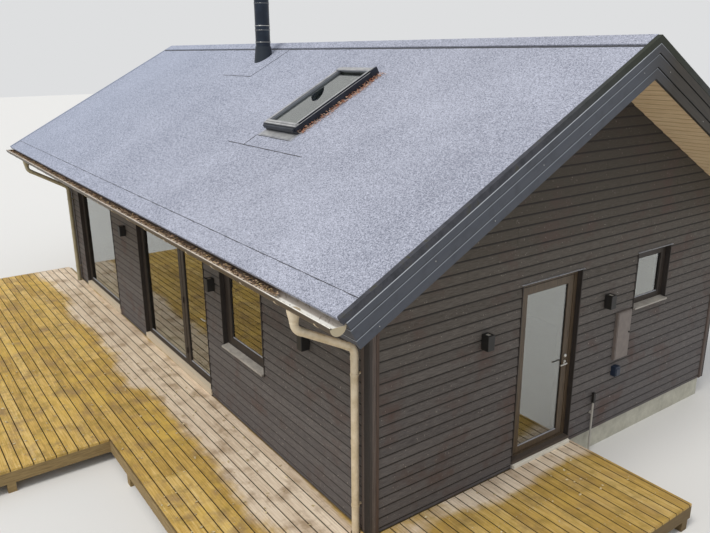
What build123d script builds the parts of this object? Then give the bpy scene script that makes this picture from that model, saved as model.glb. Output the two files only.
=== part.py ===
# A holiday home: one storey of timber on a low plinth, under a felt saddle roof with wide overhangs.
# One gable has a glazed door, the long terrace front has tall glazing, and a timber deck wraps that corner.
#
# Millimetres. +X runs along the ridge towards the gable with the door, -Y points out of the terrace
# front, and +Z is up. The origin is the middle of the house, on the underside of its foundation.

from build123d import *
from collections import namedtuple
from math import cos, radians, sin, tan
import os

os.makedirs("parts", exist_ok=True)

# House body, measured over the lapped boards
house_length = 10240
house_width = 6030
plinth_height = 290
plinth_set_back = 40
board_zone = 30
wall_thickness = 270
floor_rise = 86
head_rise = 2190

# Roof
eave_height = 2940
roof_pitch = 28.4
eave_overhang = 730
near_verge_overhang = 628
far_verge_overhang = 1600
felt_layer = 30
rafter_depth = 270
soffit_board = 20
felt_drip = 25
fascia_thickness = 22
ridge_cap_reach = 175
ridge_cap_thickness = 20
verge_cap_rise = 15
verge_cap_face = 50
verge_build = 48
verge_step = 10
upper_board_foot = 135
middle_board_foot = 250
lower_board_foot = 345

# Openings: sizes of the hole that shows between the reveal boards
gable_door_left = -1000
gable_door_width = 973
gable_window_left = 1054
small_window_width = 680
small_window_height = 680
corner_pier_width = 588
corner_glazing_width = 2044
middle_pier_width = 1366
terrace_width = 2566
window_pier_width = 525
front_window_width = 1075
front_window_height = 1235
mullion_offset = 1612
back_window_spacing = 3000
back_window_count = 3
far_window_spacing = 3000
far_window_count = 2

# Joinery
reveal_depth = 60
reveal_board = 12
reveal_proud = 5
frame_face = 50
frame_foot = 25
frame_depth = 110
light_face = 45
leaf_stile = 90
leaf_foot_rail = 70
sash_depth = 54
sash_set_in = 2
glass_thickness = 24
glass_set_in = 15
mullion_width = 60
door_gap = 8
door_stop = 15
sill_nose = 35
sill_fall = 15
sill_thickness = 20
window_foot = 45
threshold_nose = 10

# Hinges and handles
hinge_stand_off = 10
pin_radius = 5
pin_clearance = 0.3
knuckle_radius = 9
knuckle_length = 45
knuckle_gap = 0.5
hinge_flap = 28
hinge_flap_thickness = 3
hinge_inset = 220
hinge_count = 3
handle_rise = 975
handle_plate_width = 34
handle_plate_height = 220
handle_plate_thickness = 8
lever_radius = 9
lever_length = 120
lever_stand_off = 45

# Corner boards
corner_front_width = 130
corner_gable_width = 110
corner_thickness = 35

# Roof window, measured on the slope
roof_window_x = 1930
roof_window_top = 895
roof_window_width = 790
roof_window_length = 1410
roof_window_rise = 100
roof_window_depth = 150
roof_window_member = 60
roof_window_glass_sink = 25
roof_window_glass_thickness = 20
apron_side = 30
apron_foot = 130
apron_thickness = 8

# Flue
flue_x = -1450
flue_y = -415
flue_radius = 125
flue_bore = 75
flue_rise = 1300
flue_foot_drop = 30
flue_fire_gap = 15
flue_band_rise = 4
flue_band_height = 30
flue_band_drops = (430, 790, 860, 1055)
flue_skirt_top = 133
flue_skirt_foot = 155
flue_skirt_height = 190
flue_cap_gap = 90
flue_cap_radius = 170
flue_cap_height = 60
flue_leg_width = 20
flue_leg_thickness = 4
seat_clearance = 0.3

# Rain goods
gutter_radius = 75
gutter_wall = 3
gutter_drop = 82
gutter_bead_radius = 7
gutter_flange = 30
gutter_end_gap = 20
gutter_length_count = 6
gutter_joint_gap = 0.5
pipe_radius = 37.5
pipe_wall = 3
funnel_radius = 60
funnel_height = 90
funnel_collar = 20
pipe_stand_off = 70
pipe_corner_inset = 140
outlet_corner_inset = 50
swan_neck_drop = 70
swan_neck_slope = 28.9
elbow_radius = 110
elbow_piece_count = 4
pipe_foot_height = 60
clip_heights = (603, 2007)
clip_radius = 42
clip_height = 25
clip_stem = 20

# Fittings on the walls
lamp_width = 95
lamp_height = 170
lamp_depth = 100
lamp_rise = 1710
lamp_base_width = 70
lamp_base_height = 120
terrace_lamp_offsets = (-628, 296)
corner_lamp_inset = 1080
gable_lamp_offsets = (-545, 522)
cupboard_left = 720
cupboard_rise = 880
cupboard_width = 275
cupboard_height = 620
cupboard_depth = 30
cupboard_door_border = 12
cupboard_door_thickness = 6
outlet_place = 785
outlet_rise = 725
outlet_width = 100
outlet_height = 130
outlet_depth = 65
outlet_lid_border = 10
outlet_lid_thickness = 8
riser_place = 385
riser_stand_off = 30
riser_radius = 12
riser_top = 700
riser_head_width = 34
riser_head_height = 130
riser_clip_height = 560
riser_clip_size = 30

# Deck
deck_board = 28
deck_gap = 10
deck_far_reach = 960
deck_near_reach = 1565
strip_depth = 1517
wide_depth = 4000
wide_deck_start = 1782
gable_deck_end = 33
joist_width = 45
joist_depth = 145
joist_pitch = 600
joist_hanger_gap = 0.5
deck_post = 95
deck_post_row_pitch = 1500
joists_per_post = 3
pipe_hole_clearance = 12

# Worked out from the driving dimensions
half_length = house_length / 2
half_width = house_width / 2
core_x = half_length - board_zone
core_y = half_width - board_zone
room_x = core_x - wall_thickness
room_y = core_y - wall_thickness
corner_glazing_left = -half_length + corner_pier_width
terrace_left = corner_glazing_left + corner_glazing_width + middle_pier_width
front_window_left = terrace_left + terrace_width + window_pier_width
mullion_centre = terrace_left + mullion_offset
front_lamp_places = (
    terrace_left + terrace_lamp_offsets[0],
    terrace_left + terrace_width + terrace_lamp_offsets[1],
    half_length - corner_lamp_inset,
)
gable_lamp_places = (
    gable_door_left + gable_lamp_offsets[0],
    gable_door_left + gable_door_width + gable_lamp_offsets[1],
)
floor_level = plinth_height + floor_rise
head_level = plinth_height + head_rise
hole_head = head_level + reveal_board
slope = radians(roof_pitch)
ridge_height = eave_height + (half_width + eave_overhang) * tan(slope)
soffit_top = felt_layer + rafter_depth
roof_build = soffit_top + soffit_board
near_verge = half_length + near_verge_overhang
far_verge = -half_length - far_verge_overhang
roof_near = near_verge - verge_build
roof_far = far_verge + verge_build
felt_reach = (half_width + eave_overhang) / cos(slope)
fascia_reach = felt_reach - felt_drip
rafter_reach = fascia_reach - fascia_thickness

# Wall planes, seen from outside: local x to the right, local y up, local z out of the wall
near_gable = Plane(origin=(half_length, 0, 0), x_dir=(0, 1, 0), z_dir=(1, 0, 0))
far_gable = Plane(origin=(-half_length, 0, 0), x_dir=(0, -1, 0), z_dir=(-1, 0, 0))
front = Plane(origin=(0, -half_width, 0), x_dir=(1, 0, 0), z_dir=(0, -1, 0))
back = Plane(origin=(0, half_width, 0), x_dir=(-1, 0, 0), z_dir=(0, 1, 0))

# The felt surface of the front slope, with local y up the slope and its origin on the ridge line
front_slope = Plane(origin=(0, 0, ridge_height), x_dir=(1, 0, 0), z_dir=(0, -sin(slope), cos(slope)))

Opening = namedtuple("Opening", "wall left foot width height")


def row_of_windows(wall, count, spacing):
    """Small windows set out evenly about the middle of a wall."""
    first = -spacing * (count - 1) / 2 - small_window_width / 2
    foot = head_level - small_window_height
    return [Opening(wall, first + spacing * i, foot, small_window_width, small_window_height) for i in range(count)]


glazing_height = head_rise - floor_rise
gable_door = Opening(near_gable, gable_door_left, floor_level, gable_door_width, glazing_height)
terrace = Opening(front, terrace_left, floor_level, terrace_width, glazing_height)
corner_glazing = Opening(front, corner_glazing_left, floor_level, corner_glazing_width, glazing_height)
gable_window = Opening(
    near_gable, gable_window_left, head_level - small_window_height, small_window_width, small_window_height
)
front_window = Opening(
    front, front_window_left, head_level - front_window_height, front_window_width, front_window_height
)
back_windows = row_of_windows(back, back_window_count, back_window_spacing)
far_windows = row_of_windows(far_gable, far_window_count, far_window_spacing)
raised_windows = [front_window, gable_window] + back_windows + far_windows
doorways = [gable_door, terrace, corner_glazing]


def roof_height(y, depth):
    """Height of the roof layer that lies depth below the felt, above a point y from the ridge line."""
    return ridge_height - abs(y) * tan(slope) - depth / cos(slope)


def slope_point(reach, depth):
    """A point of the front slope in the YZ plane: reach down the slope, and depth below the felt."""
    return (
        -reach * cos(slope) + depth * sin(slope),
        ridge_height - reach * sin(slope) - depth * cos(slope),
    )


def band_outline(reach, top, foot):
    """Section of a layer of the front slope, from the ridge line to a square cut at the eave."""
    return [
        (0, ridge_height - top / cos(slope)),
        slope_point(reach, top),
        slope_point(reach, foot),
        (0, ridge_height - foot / cos(slope)),
    ]


def rectangle_at(left, foot, width, height, mode=Mode.ADD):
    """A rectangle of the sketch in hand, given by its lower left corner."""
    with Locations((left + width / 2, foot + height / 2)):
        Rectangle(width, height, mode=mode)


def hole_foot(opening):
    """Lower edge of the hole in the wall: windows stand on a ledge below their sill."""
    return opening.foot if opening in doorways else opening.foot - window_foot


def wall_hole(opening):
    """The hole of an opening in the wall, with room for the reveal boards."""
    foot = hole_foot(opening)
    rectangle_at(
        opening.left - reveal_board, foot, opening.width + 2 * reveal_board, opening.foot - foot + opening.height
        + reveal_board,
    )


def framed_bay(opening):
    """Left, foot, width and height of the light inside an opening's frame."""
    return (
        opening.left + frame_face,
        opening.foot + frame_foot,
        opening.width - 2 * frame_face,
        opening.height - frame_face - frame_foot,
    )


def inset(bay, border):
    """A bay made smaller by the same border on its four sides."""
    left, foot, width, height = bay
    return (left + border, foot + border, width - 2 * border, height - 2 * border)


def window_light(opening):
    """The glass of a window: the front one opens and has a leaf's wide members, the others are fixed."""
    return inset(framed_bay(opening), leaf_stile if opening == front_window else light_face)


def leaf_light(bay):
    """The glass of a door leaf, whose foot rail is lower than its stiles are wide."""
    left, foot, width, height = inset(bay, leaf_stile)
    gain = leaf_stile - leaf_foot_rail
    return (left, foot - gain, width, height + gain)


# The terrace set has a fixed light to the left of its mullion and a door to the right
light_left, light_foot, light_width, light_height = framed_bay(terrace)
mullion_left = mullion_centre - mullion_width / 2
side_light = (light_left, light_foot, mullion_left - light_left, light_height)
door_bay_left = mullion_left + mullion_width
terrace_door_bay = (door_bay_left, light_foot, light_left + light_width - door_bay_left, light_height)
gable_door_bay = framed_bay(gable_door)
terrace_leaf_bay = inset(terrace_door_bay, door_gap)
gable_leaf_bay = inset(gable_door_bay, door_gap)

# Foundation: a ring of blocks round a ground-bearing slab

with BuildPart() as plinth:
    with BuildSketch():
        Rectangle(house_length - 2 * plinth_set_back, house_width - 2 * plinth_set_back)
        Rectangle(2 * room_x, 2 * room_y, mode=Mode.SUBTRACT)
    extrude(amount=plinth_height)
plinth.part.label = "plinth"
export_step(plinth.part, "parts/plinth.step")

with BuildPart() as floor_slab:
    with BuildSketch():
        Rectangle(2 * room_x, 2 * room_y)
    extrude(amount=floor_level)
floor_slab.part.label = "floor_slab"
export_step(floor_slab.part, "parts/floor_slab.step")

# Walls: the insulated timber core behind the lapped boards


def front_core(left, right, foot):
    """A stretch of the front wall's core, from foot up to the rafters, added to the part in hand."""
    with BuildSketch(Plane.YZ.offset(left)) as outline:
        Polygon(
            (-core_y, foot),
            (-room_y, foot),
            (-room_y, roof_height(room_y, soffit_top)),
            (-core_y, roof_height(core_y, soffit_top)),
            align=None,
        )
    extrude(outline.sketch, amount=right - left)


def cut_holes(openings):
    """Cuts the holes of the openings through the wall in hand."""
    for opening in openings:
        with BuildSketch(opening.wall) as outline:
            wall_hole(opening)
        extrude(outline.sketch, amount=-(board_zone + wall_thickness), mode=Mode.SUBTRACT)


near_wall_start = terrace_left + terrace_width + reveal_board

with BuildPart() as front_wall_piers:
    with BuildSketch(front.offset(-board_zone)):
        rectangle_at(
            -core_x, plinth_height, corner_glazing_left - reveal_board + core_x, hole_head - plinth_height
        )
        pier_left = corner_glazing_left + corner_glazing_width + reveal_board
        rectangle_at(
            pier_left, plinth_height, terrace_left - reveal_board - pier_left, hole_head - plinth_height
        )
    extrude(amount=-wall_thickness)
front_wall_piers.part.label = "front_wall_piers"
export_step(front_wall_piers.part, "parts/front_wall_piers.step")

with BuildPart() as front_wall_near:
    front_core(near_wall_start, core_x, plinth_height)
    cut_holes([front_window])
front_wall_near.part.label = "front_wall_near"
export_step(front_wall_near.part, "parts/front_wall_near.step")

with BuildPart() as front_wall_header:
    front_core(-core_x, near_wall_start, hole_head)
front_wall_header.part.label = "front_wall_header"
export_step(front_wall_header.part, "parts/front_wall_header.step")

with BuildPart() as back_wall:
    front_core(-core_x, core_x, plinth_height)
    mirror(about=Plane.XZ, mode=Mode.REPLACE)
    cut_holes(back_windows)
back_wall.part.label = "back_wall"
export_step(back_wall.part, "parts/back_wall.step")

with BuildPart() as gable_wall_left:
    with BuildSketch(near_gable.offset(-board_zone)):
        rectangle_at(
            -room_y, plinth_height, gable_door_left - reveal_board + room_y, hole_head - plinth_height
        )
    extrude(amount=-wall_thickness)
gable_wall_left.part.label = "gable_wall_left"
export_step(gable_wall_left.part, "parts/gable_wall_left.step")

with BuildPart() as gable_wall_right:
    with BuildSketch(near_gable.offset(-board_zone)):
        door_right = gable_door_left + gable_door_width + reveal_board
        rectangle_at(door_right, plinth_height, room_y - door_right, hole_head - plinth_height)
    extrude(amount=-wall_thickness)
    cut_holes([gable_window])
gable_wall_right.part.label = "gable_wall_right"
export_step(gable_wall_right.part, "parts/gable_wall_right.step")


def gable_core(foot):
    """Outline of a gable wall's core between the long walls, from foot up to the rafters."""
    Polygon(
        (-room_y, foot),
        (room_y, foot),
        (room_y, roof_height(room_y, soffit_top)),
        (0, roof_height(0, soffit_top)),
        (-room_y, roof_height(room_y, soffit_top)),
        align=None,
    )


with BuildPart() as gable_wall_top:
    with BuildSketch(near_gable.offset(-board_zone)):
        gable_core(hole_head)
    extrude(amount=-wall_thickness)
gable_wall_top.part.label = "gable_wall_top"
export_step(gable_wall_top.part, "parts/gable_wall_top.step")

with BuildPart() as far_gable_wall:
    with BuildSketch(far_gable.offset(-board_zone)):
        gable_core(plinth_height)
    extrude(amount=-wall_thickness)
    cut_holes(far_windows)
far_gable_wall.part.label = "far_gable_wall"
export_step(far_gable_wall.part, "parts/far_gable_wall.step")

# Corner boards: an angle of two boards on each corner, cut to the slope under the soffit

soffit_plane = front_slope.offset(-roof_build)

with BuildPart() as corner_boards:
    with BuildSketch(Plane.XY.offset(plinth_height)):
        outer_x = core_x + corner_thickness
        outer_y = core_y + corner_thickness
        with Locations((outer_x - corner_front_width / 2, -outer_y + corner_thickness / 2)):
            Rectangle(corner_front_width, corner_thickness)
        with Locations((outer_x - corner_thickness / 2, -outer_y + corner_gable_width / 2)):
            Rectangle(corner_thickness, corner_gable_width)
    extrude(amount=ridge_height - plinth_height)
    split(bisect_by=soffit_plane, keep=Keep.BOTTOM)
    mirror(about=Plane.YZ)
    mirror(about=Plane.XZ)
corner_boards.part.label = "corner_boards"
export_step(corner_boards.part, "parts/corner_boards.step")

# Reveal boards line the sides and head of each opening, out to just past the lapped boards

with BuildPart() as reveal_linings:
    for opening in raised_windows + doorways:
        foot = hole_foot(opening)
        with BuildSketch(opening.wall.offset(-reveal_depth)):
            wall_hole(opening)
            rectangle_at(
                opening.left, foot, opening.width, opening.foot - foot + opening.height, mode=Mode.SUBTRACT
            )
        extrude(amount=reveal_depth + reveal_proud)
reveal_linings.part.label = "reveal_linings"
export_step(reveal_linings.part, "parts/reveal_linings.step")

# Sills: a sloping board in front of each raised window, and a threshold under each doorway

with BuildPart() as sills:
    for window in raised_windows:
        across = Plane(
            origin=window.wall.from_local_coords(Vector(window.left, window.foot, 0)),
            x_dir=window.wall.z_dir,
            z_dir=-window.wall.x_dir,
        )
        with BuildSketch(across):
            Polygon(
                (-reveal_depth, 0),
                (sill_nose, -sill_fall),
                (sill_nose, -sill_fall - sill_thickness),
                (-reveal_depth, -sill_thickness),
                align=None,
            )
        extrude(amount=-window.width)
    for doorway in doorways:
        with BuildSketch(doorway.wall.offset(threshold_nose)):
            rectangle_at(
                doorway.left - reveal_board, plinth_height, doorway.width + 2 * reveal_board, floor_rise
            )
        extrude(amount=-(threshold_nose + board_zone + wall_thickness))
sills.part.label = "sills"
export_step(sills.part, "parts/sills.step")

# Windows: a frame with its sash, as one stepped ring, and one pane each


def frame_ring(opening, bays):
    """The frame of an opening round its bays, set back in the reveal."""
    foot = hole_foot(opening)
    with BuildSketch(opening.wall.offset(-reveal_depth)) as outline:
        wall_hole(opening)
        for bay in bays:
            rectangle_at(*bay, mode=Mode.SUBTRACT)
    extrude(outline.sketch, amount=-frame_depth)


def sash_ring(wall, bay, light):
    """A sash whose outer edge is the bay, round its light."""
    with BuildSketch(wall.offset(-reveal_depth - sash_set_in)) as outline:
        rectangle_at(*bay)
        rectangle_at(*light, mode=Mode.SUBTRACT)
    extrude(outline.sketch, amount=-sash_depth)


def pane(wall, light):
    """The sealed glass unit that fills a light."""
    with BuildSketch(wall.offset(-reveal_depth - sash_set_in - glass_set_in)) as outline:
        rectangle_at(*light)
    extrude(outline.sketch, amount=-glass_thickness)


with BuildPart() as window_frames:
    for window in raised_windows + [corner_glazing]:
        frame_ring(window, [framed_bay(window)])
        sash_ring(window.wall, framed_bay(window), window_light(window))
window_frames.part.label = "window_frames"
export_step(window_frames.part, "parts/window_frames.step")

with BuildPart() as window_glass:
    for window in raised_windows + [corner_glazing]:
        pane(window.wall, window_light(window))
    pane(terrace.wall, inset(side_light, light_face))
window_glass.part.label = "window_glass"
export_step(window_glass.part, "parts/window_glass.step")

# Doors: a glazed leaf on three pin hinges, which swings out of its frame


def hinge_axes(wall, bay):
    """Where the hinge pins of a door bay stand: at its left edge, a little proud of the frame."""
    left, foot, width, height = bay
    first = foot + hinge_inset
    pitch = (height - 2 * hinge_inset) / (hinge_count - 1)
    return [
        wall.from_local_coords(Vector(left + door_gap / 2, first + pitch * i, hinge_stand_off - reveal_depth))
        for i in range(hinge_count)
    ]


def hinge_flap_box(wall, bay, height, side, foot):
    """A flap of a hinge on the face of the frame (side -1) or the leaf (side 1)."""
    axis_x = bay[0] + door_gap / 2
    left = axis_x if side > 0 else axis_x - hinge_flap
    depth = reveal_depth + (sash_set_in if side > 0 else 0)
    with BuildSketch(wall.offset(-depth)) as outline:
        rectangle_at(left, height + foot, hinge_flap, knuckle_length)
    extrude(outline.sketch, amount=hinge_flap_thickness)
    with BuildSketch(wall.offset(-depth)) as outline:
        rectangle_at(axis_x - (0 if side > 0 else hinge_flap_thickness), height + foot, hinge_flap_thickness,
                     knuckle_length)
    extrude(outline.sketch, amount=depth - reveal_depth + hinge_stand_off)


def fixed_hinge_halves(wall, bay):
    """The lower knuckles with their pins and flaps, fixed to the frame."""
    for axis in hinge_axes(wall, bay):
        hinge_flap_box(wall, bay, axis.Z, -1, -knuckle_length)
        with BuildSketch(Plane(origin=(axis.X, axis.Y, axis.Z - knuckle_length))) as outline:
            Circle(knuckle_radius)
        extrude(outline.sketch, amount=knuckle_length)
        with BuildSketch(Plane(origin=(axis.X, axis.Y, axis.Z))) as outline:
            Circle(pin_radius)
        extrude(outline.sketch, amount=knuckle_length)


def moving_hinge_halves(wall, bay):
    """The upper knuckles and flaps, fixed to the leaf and bored for the pins."""
    for axis in hinge_axes(wall, bay):
        hinge_flap_box(wall, bay, axis.Z, 1, knuckle_gap)
        with BuildSketch(Plane(origin=(axis.X, axis.Y, axis.Z + knuckle_gap))) as outline:
            Circle(knuckle_radius)
        extrude(outline.sketch, amount=knuckle_length)
        with BuildSketch(Plane(origin=(axis.X, axis.Y, axis.Z + knuckle_gap))) as outline:
            Circle(pin_radius + pin_clearance)
        extrude(outline.sketch, amount=knuckle_length, mode=Mode.SUBTRACT)


def door_stop_ring(wall, bay):
    """The stop behind a door leaf, which closes the gap round it from inside."""
    depth = reveal_depth + sash_set_in + sash_depth + door_gap
    with BuildSketch(wall.offset(-depth)) as outline:
        rectangle_at(*bay)
        rectangle_at(*inset(bay, door_stop), mode=Mode.SUBTRACT)
    extrude(outline.sketch, amount=-(reveal_depth + frame_depth - depth))


with BuildPart() as gable_door_frame:
    frame_ring(gable_door, [gable_door_bay])
    door_stop_ring(near_gable, gable_door_bay)
    fixed_hinge_halves(near_gable, gable_door_bay)
gable_door_frame.part.label = "gable_door_frame"
export_step(gable_door_frame.part, "parts/gable_door_frame.step")

with BuildPart() as terrace_frame:
    frame_ring(terrace, [side_light, terrace_door_bay])
    sash_ring(front, side_light, inset(side_light, light_face))
    door_stop_ring(front, terrace_door_bay)
    fixed_hinge_halves(front, terrace_door_bay)
terrace_frame.part.label = "terrace_frame"
export_step(terrace_frame.part, "parts/terrace_frame.step")

with BuildPart() as gable_door_leaf:
    sash_ring(near_gable, gable_leaf_bay, leaf_light(gable_leaf_bay))
    moving_hinge_halves(near_gable, gable_door_bay)
gable_door_leaf.part.label = "gable_door_leaf"
export_step(gable_door_leaf.part, "parts/gable_door_leaf.step")

with BuildPart() as gable_door_glass:
    pane(near_gable, leaf_light(gable_leaf_bay))
gable_door_glass.part.label = "gable_door_glass"
export_step(gable_door_glass.part, "parts/gable_door_glass.step")

with BuildPart() as terrace_door_leaf:
    sash_ring(front, terrace_leaf_bay, leaf_light(terrace_leaf_bay))
    moving_hinge_halves(front, terrace_door_bay)
terrace_door_leaf.part.label = "terrace_door_leaf"
export_step(terrace_door_leaf.part, "parts/terrace_door_leaf.step")

with BuildPart() as terrace_door_glass:
    pane(front, leaf_light(terrace_leaf_bay))
terrace_door_glass.part.label = "terrace_door_glass"
export_step(terrace_door_glass.part, "parts/terrace_door_glass.step")


def door_furniture(wall, bay):
    """A long plate and a lever on both faces of a leaf's lock stile."""
    left, foot, width, height = inset(bay, door_gap)
    stile = left + width - leaf_stile / 2
    lever_height = floor_level + handle_rise
    outer_face = -reveal_depth - sash_set_in
    for face, out in ((outer_face, 1), (outer_face - sash_depth, -1)):
        with BuildSketch(wall.offset(face)) as outline:
            with Locations((stile, lever_height + handle_plate_height / 5)):
                Rectangle(handle_plate_width, handle_plate_height)
        extrude(outline.sketch, amount=out * handle_plate_thickness)
        with BuildSketch(wall.offset(face)) as outline:
            with Locations((stile, lever_height)):
                Circle(lever_radius)
        extrude(outline.sketch, amount=out * (lever_stand_off + lever_radius))
        bar_start = wall.from_local_coords(Vector(stile, lever_height, face + out * lever_stand_off))
        with BuildSketch(Plane(origin=bar_start, x_dir=wall.z_dir, z_dir=-wall.x_dir)) as outline:
            Circle(lever_radius)
        extrude(outline.sketch, amount=lever_length)


with BuildPart() as gable_door_handle:
    door_furniture(near_gable, gable_door_bay)
gable_door_handle.part.label = "gable_door_handle"
export_step(gable_door_handle.part, "parts/gable_door_handle.step")

with BuildPart() as terrace_door_handle:
    door_furniture(front, terrace_door_bay)
terrace_door_handle.part.label = "terrace_door_handle"
export_step(terrace_door_handle.part, "parts/terrace_door_handle.step")

# Roof layers, each a slab that is cut square at the eave and plumb at the ridge


def slope_layer(near, far, reach, top, foot):
    """A layer of the front slope between two ends of the roof."""
    with BuildSketch(Plane.YZ.offset(far)) as outline:
        Polygon(*band_outline(reach, top, foot), align=None)
    extrude(outline.sketch, amount=near - far)


def cut_roof_holes():
    """The holes for the roof window and the flue, through the layer in hand."""
    with BuildSketch(front_slope) as outline:
        with Locations((roof_window_x, -roof_window_top - roof_window_length / 2)):
            Rectangle(roof_window_width, roof_window_length)
    extrude(outline.sketch, amount=-2 * roof_build, mode=Mode.SUBTRACT)
    with BuildSketch(Plane(origin=(flue_x, flue_y, 0))) as outline:
        Circle(flue_radius + flue_fire_gap)
    extrude(outline.sketch, amount=ridge_height, mode=Mode.SUBTRACT)


with BuildPart() as felt_front:
    slope_layer(roof_near, roof_far, felt_reach, 0, felt_layer)
    cut_roof_holes()
felt_front.part.label = "felt_front"
export_step(felt_front.part, "parts/felt_front.step")

with BuildPart() as felt_back:
    slope_layer(roof_near, roof_far, felt_reach, 0, felt_layer)
    mirror(about=Plane.XZ, mode=Mode.REPLACE)
felt_back.part.label = "felt_back"
export_step(felt_back.part, "parts/felt_back.step")

with BuildPart() as rafters_front:
    slope_layer(roof_near, roof_far, rafter_reach, felt_layer, soffit_top)
    cut_roof_holes()
rafters_front.part.label = "rafters_front"
export_step(rafters_front.part, "parts/rafters_front.step")

with BuildPart() as rafters_back:
    slope_layer(roof_near, roof_far, rafter_reach, felt_layer, soffit_top)
    mirror(about=Plane.XZ, mode=Mode.REPLACE)
rafters_back.part.label = "rafters_back"
export_step(rafters_back.part, "parts/rafters_back.step")

with BuildPart() as ridge_cap:
    slope_layer(roof_near, roof_far, ridge_cap_reach, -ridge_cap_thickness, 0)
    mirror(about=Plane.XZ)
ridge_cap.part.label = "ridge_cap"
export_step(ridge_cap.part, "parts/ridge_cap.step")

with BuildPart() as soffits:
    slope_layer(roof_near, roof_far, rafter_reach, soffit_top, roof_build)
    mirror(about=Plane.XZ)
    with BuildSketch():
        Rectangle(2 * core_x, 2 * core_y)
    extrude(amount=ridge_height, mode=Mode.SUBTRACT)
soffits.part.label = "soffits"
export_step(soffits.part, "parts/soffits.step")

with BuildPart() as fascias:
    with BuildSketch(Plane.YZ.offset(roof_far)):
        Polygon(
            slope_point(rafter_reach, felt_layer),
            slope_point(fascia_reach, felt_layer),
            slope_point(fascia_reach, roof_build),
            slope_point(rafter_reach, roof_build),
            align=None,
        )
    extrude(amount=roof_near - roof_far)
    mirror(about=Plane.XZ)
fascias.part.label = "fascias"
export_step(fascias.part, "parts/fascias.step")

# Verges: a cap on edge beside the felt, above three bargeboards that step back one below the other

with BuildPart() as verge_caps:
    slope_layer(near_verge, roof_near, felt_reach, -verge_cap_rise, verge_cap_face)
    slope_layer(roof_far, far_verge, felt_reach, -verge_cap_rise, verge_cap_face)
    mirror(about=Plane.XZ)
verge_caps.part.label = "verge_caps"
export_step(verge_caps.part, "parts/verge_caps.step")

with BuildPart() as bargeboards:
    board_edges = (verge_cap_face, upper_board_foot, middle_board_foot, lower_board_foot)
    for step in range(3):
        set_in = step * verge_step
        top, foot = board_edges[step : step + 2]
        slope_layer(near_verge - set_in, roof_near, fascia_reach, top, foot)
        slope_layer(roof_far, far_verge + set_in, fascia_reach, top, foot)
    mirror(about=Plane.XZ)
bargeboards.part.label = "bargeboards"
export_step(bargeboards.part, "parts/bargeboards.step")

# Gutters: half-round troughs with a rolled front bead, in lengths that hang from a flange on the fascia

rim_y, gutter_rim_height = slope_point(fascia_reach, gutter_drop)
gutter_y = rim_y - gutter_radius
gutter_start = far_verge
gutter_end = near_verge - gutter_end_gap
outlet_places = (half_length - outlet_corner_inset, -half_length - outlet_corner_inset)
pipe_places = (half_length - pipe_corner_inset, -half_length + pipe_corner_inset)

with BuildPart() as gutter_front:
    with BuildSketch(Plane.YZ.offset(gutter_start)):
        with Locations((gutter_y, gutter_rim_height)):
            Circle(gutter_radius)
            Circle(gutter_radius - gutter_wall, mode=Mode.SUBTRACT)
        with Locations((gutter_y, gutter_rim_height + gutter_radius / 2)):
            Rectangle(2 * gutter_radius, gutter_radius, mode=Mode.SUBTRACT)
        with Locations((gutter_y - gutter_radius + gutter_bead_radius, gutter_rim_height)):
            Circle(gutter_bead_radius)
        Polygon(
            slope_point(fascia_reach, gutter_drop - gutter_flange),
            slope_point(fascia_reach + gutter_wall, gutter_drop - gutter_flange),
            slope_point(fascia_reach + gutter_wall, gutter_drop + gutter_wall),
            slope_point(fascia_reach, gutter_drop + gutter_wall),
            align=None,
        )
    extrude(amount=gutter_end - gutter_start)
    for end in (gutter_start, gutter_end - gutter_wall):
        with BuildSketch(Plane.YZ.offset(end)):
            with Locations((gutter_y, gutter_rim_height)):
                Circle(gutter_radius)
            with Locations((gutter_y, gutter_rim_height + gutter_radius / 2)):
                Rectangle(2 * gutter_radius, gutter_radius, mode=Mode.SUBTRACT)
        extrude(amount=gutter_wall)
    for place in outlet_places:
        with BuildSketch(Plane(origin=(place, gutter_y, gutter_rim_height - gutter_radius - gutter_wall))):
            Circle(pipe_radius - pipe_wall)
        extrude(amount=gutter_radius, mode=Mode.SUBTRACT)
    for joint in range(1, gutter_length_count):
        joint_x = gutter_start + (gutter_end - gutter_start) * joint / gutter_length_count
        with BuildSketch(Plane.YZ.offset(joint_x)):
            with Locations((gutter_y, gutter_rim_height)):
                Rectangle(3 * gutter_radius, 3 * gutter_radius)
        extrude(amount=gutter_joint_gap, mode=Mode.SUBTRACT)
gutter_front.part.label = "gutter_front"
export_step(gutter_front.part, "parts/gutter_front.step")

with BuildPart() as gutter_back:
    add(gutter_front.part)
    mirror(about=Plane.XZ, mode=Mode.REPLACE)
gutter_back.part.label = "gutter_back"
export_step(gutter_back.part, "parts/gutter_back.step")

# Downpipes: a funnel under the gutter's outlet, a swan neck back to the wall, and a clipped straight fall

pipe_y = -half_width - pipe_stand_off
funnel_foot = gutter_rim_height - gutter_radius - funnel_height
shoulder_height = funnel_foot - swan_neck_drop


def pipe_route(outlet, wall_place):
    """Points from the funnel to the pipe's foot, with each elbow divided into short mitred lengths."""
    run = Vector(wall_place - outlet, pipe_y - gutter_y, 0).length
    landing_height = shoulder_height - run * tan(radians(swan_neck_slope))
    with BuildLine(mode=Mode.PRIVATE) as route:
        FilletPolyline(
            (outlet, gutter_y, funnel_foot),
            (outlet, gutter_y, shoulder_height),
            (wall_place, pipe_y, landing_height),
            (wall_place, pipe_y, pipe_foot_height),
            radius=elbow_radius,
        )
    elbows = route.edges().filter_by(GeomType.CIRCLE).sort_by(Axis.Z, reverse=True)
    points = [Vector(outlet, gutter_y, funnel_foot)]
    for elbow in elbows:
        stops = sorted((elbow @ (i / elbow_piece_count) for i in range(elbow_piece_count + 1)), key=lambda stop: -stop.Z)
        points += stops
    return points + [Vector(wall_place, pipe_y, pipe_foot_height)]


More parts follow.
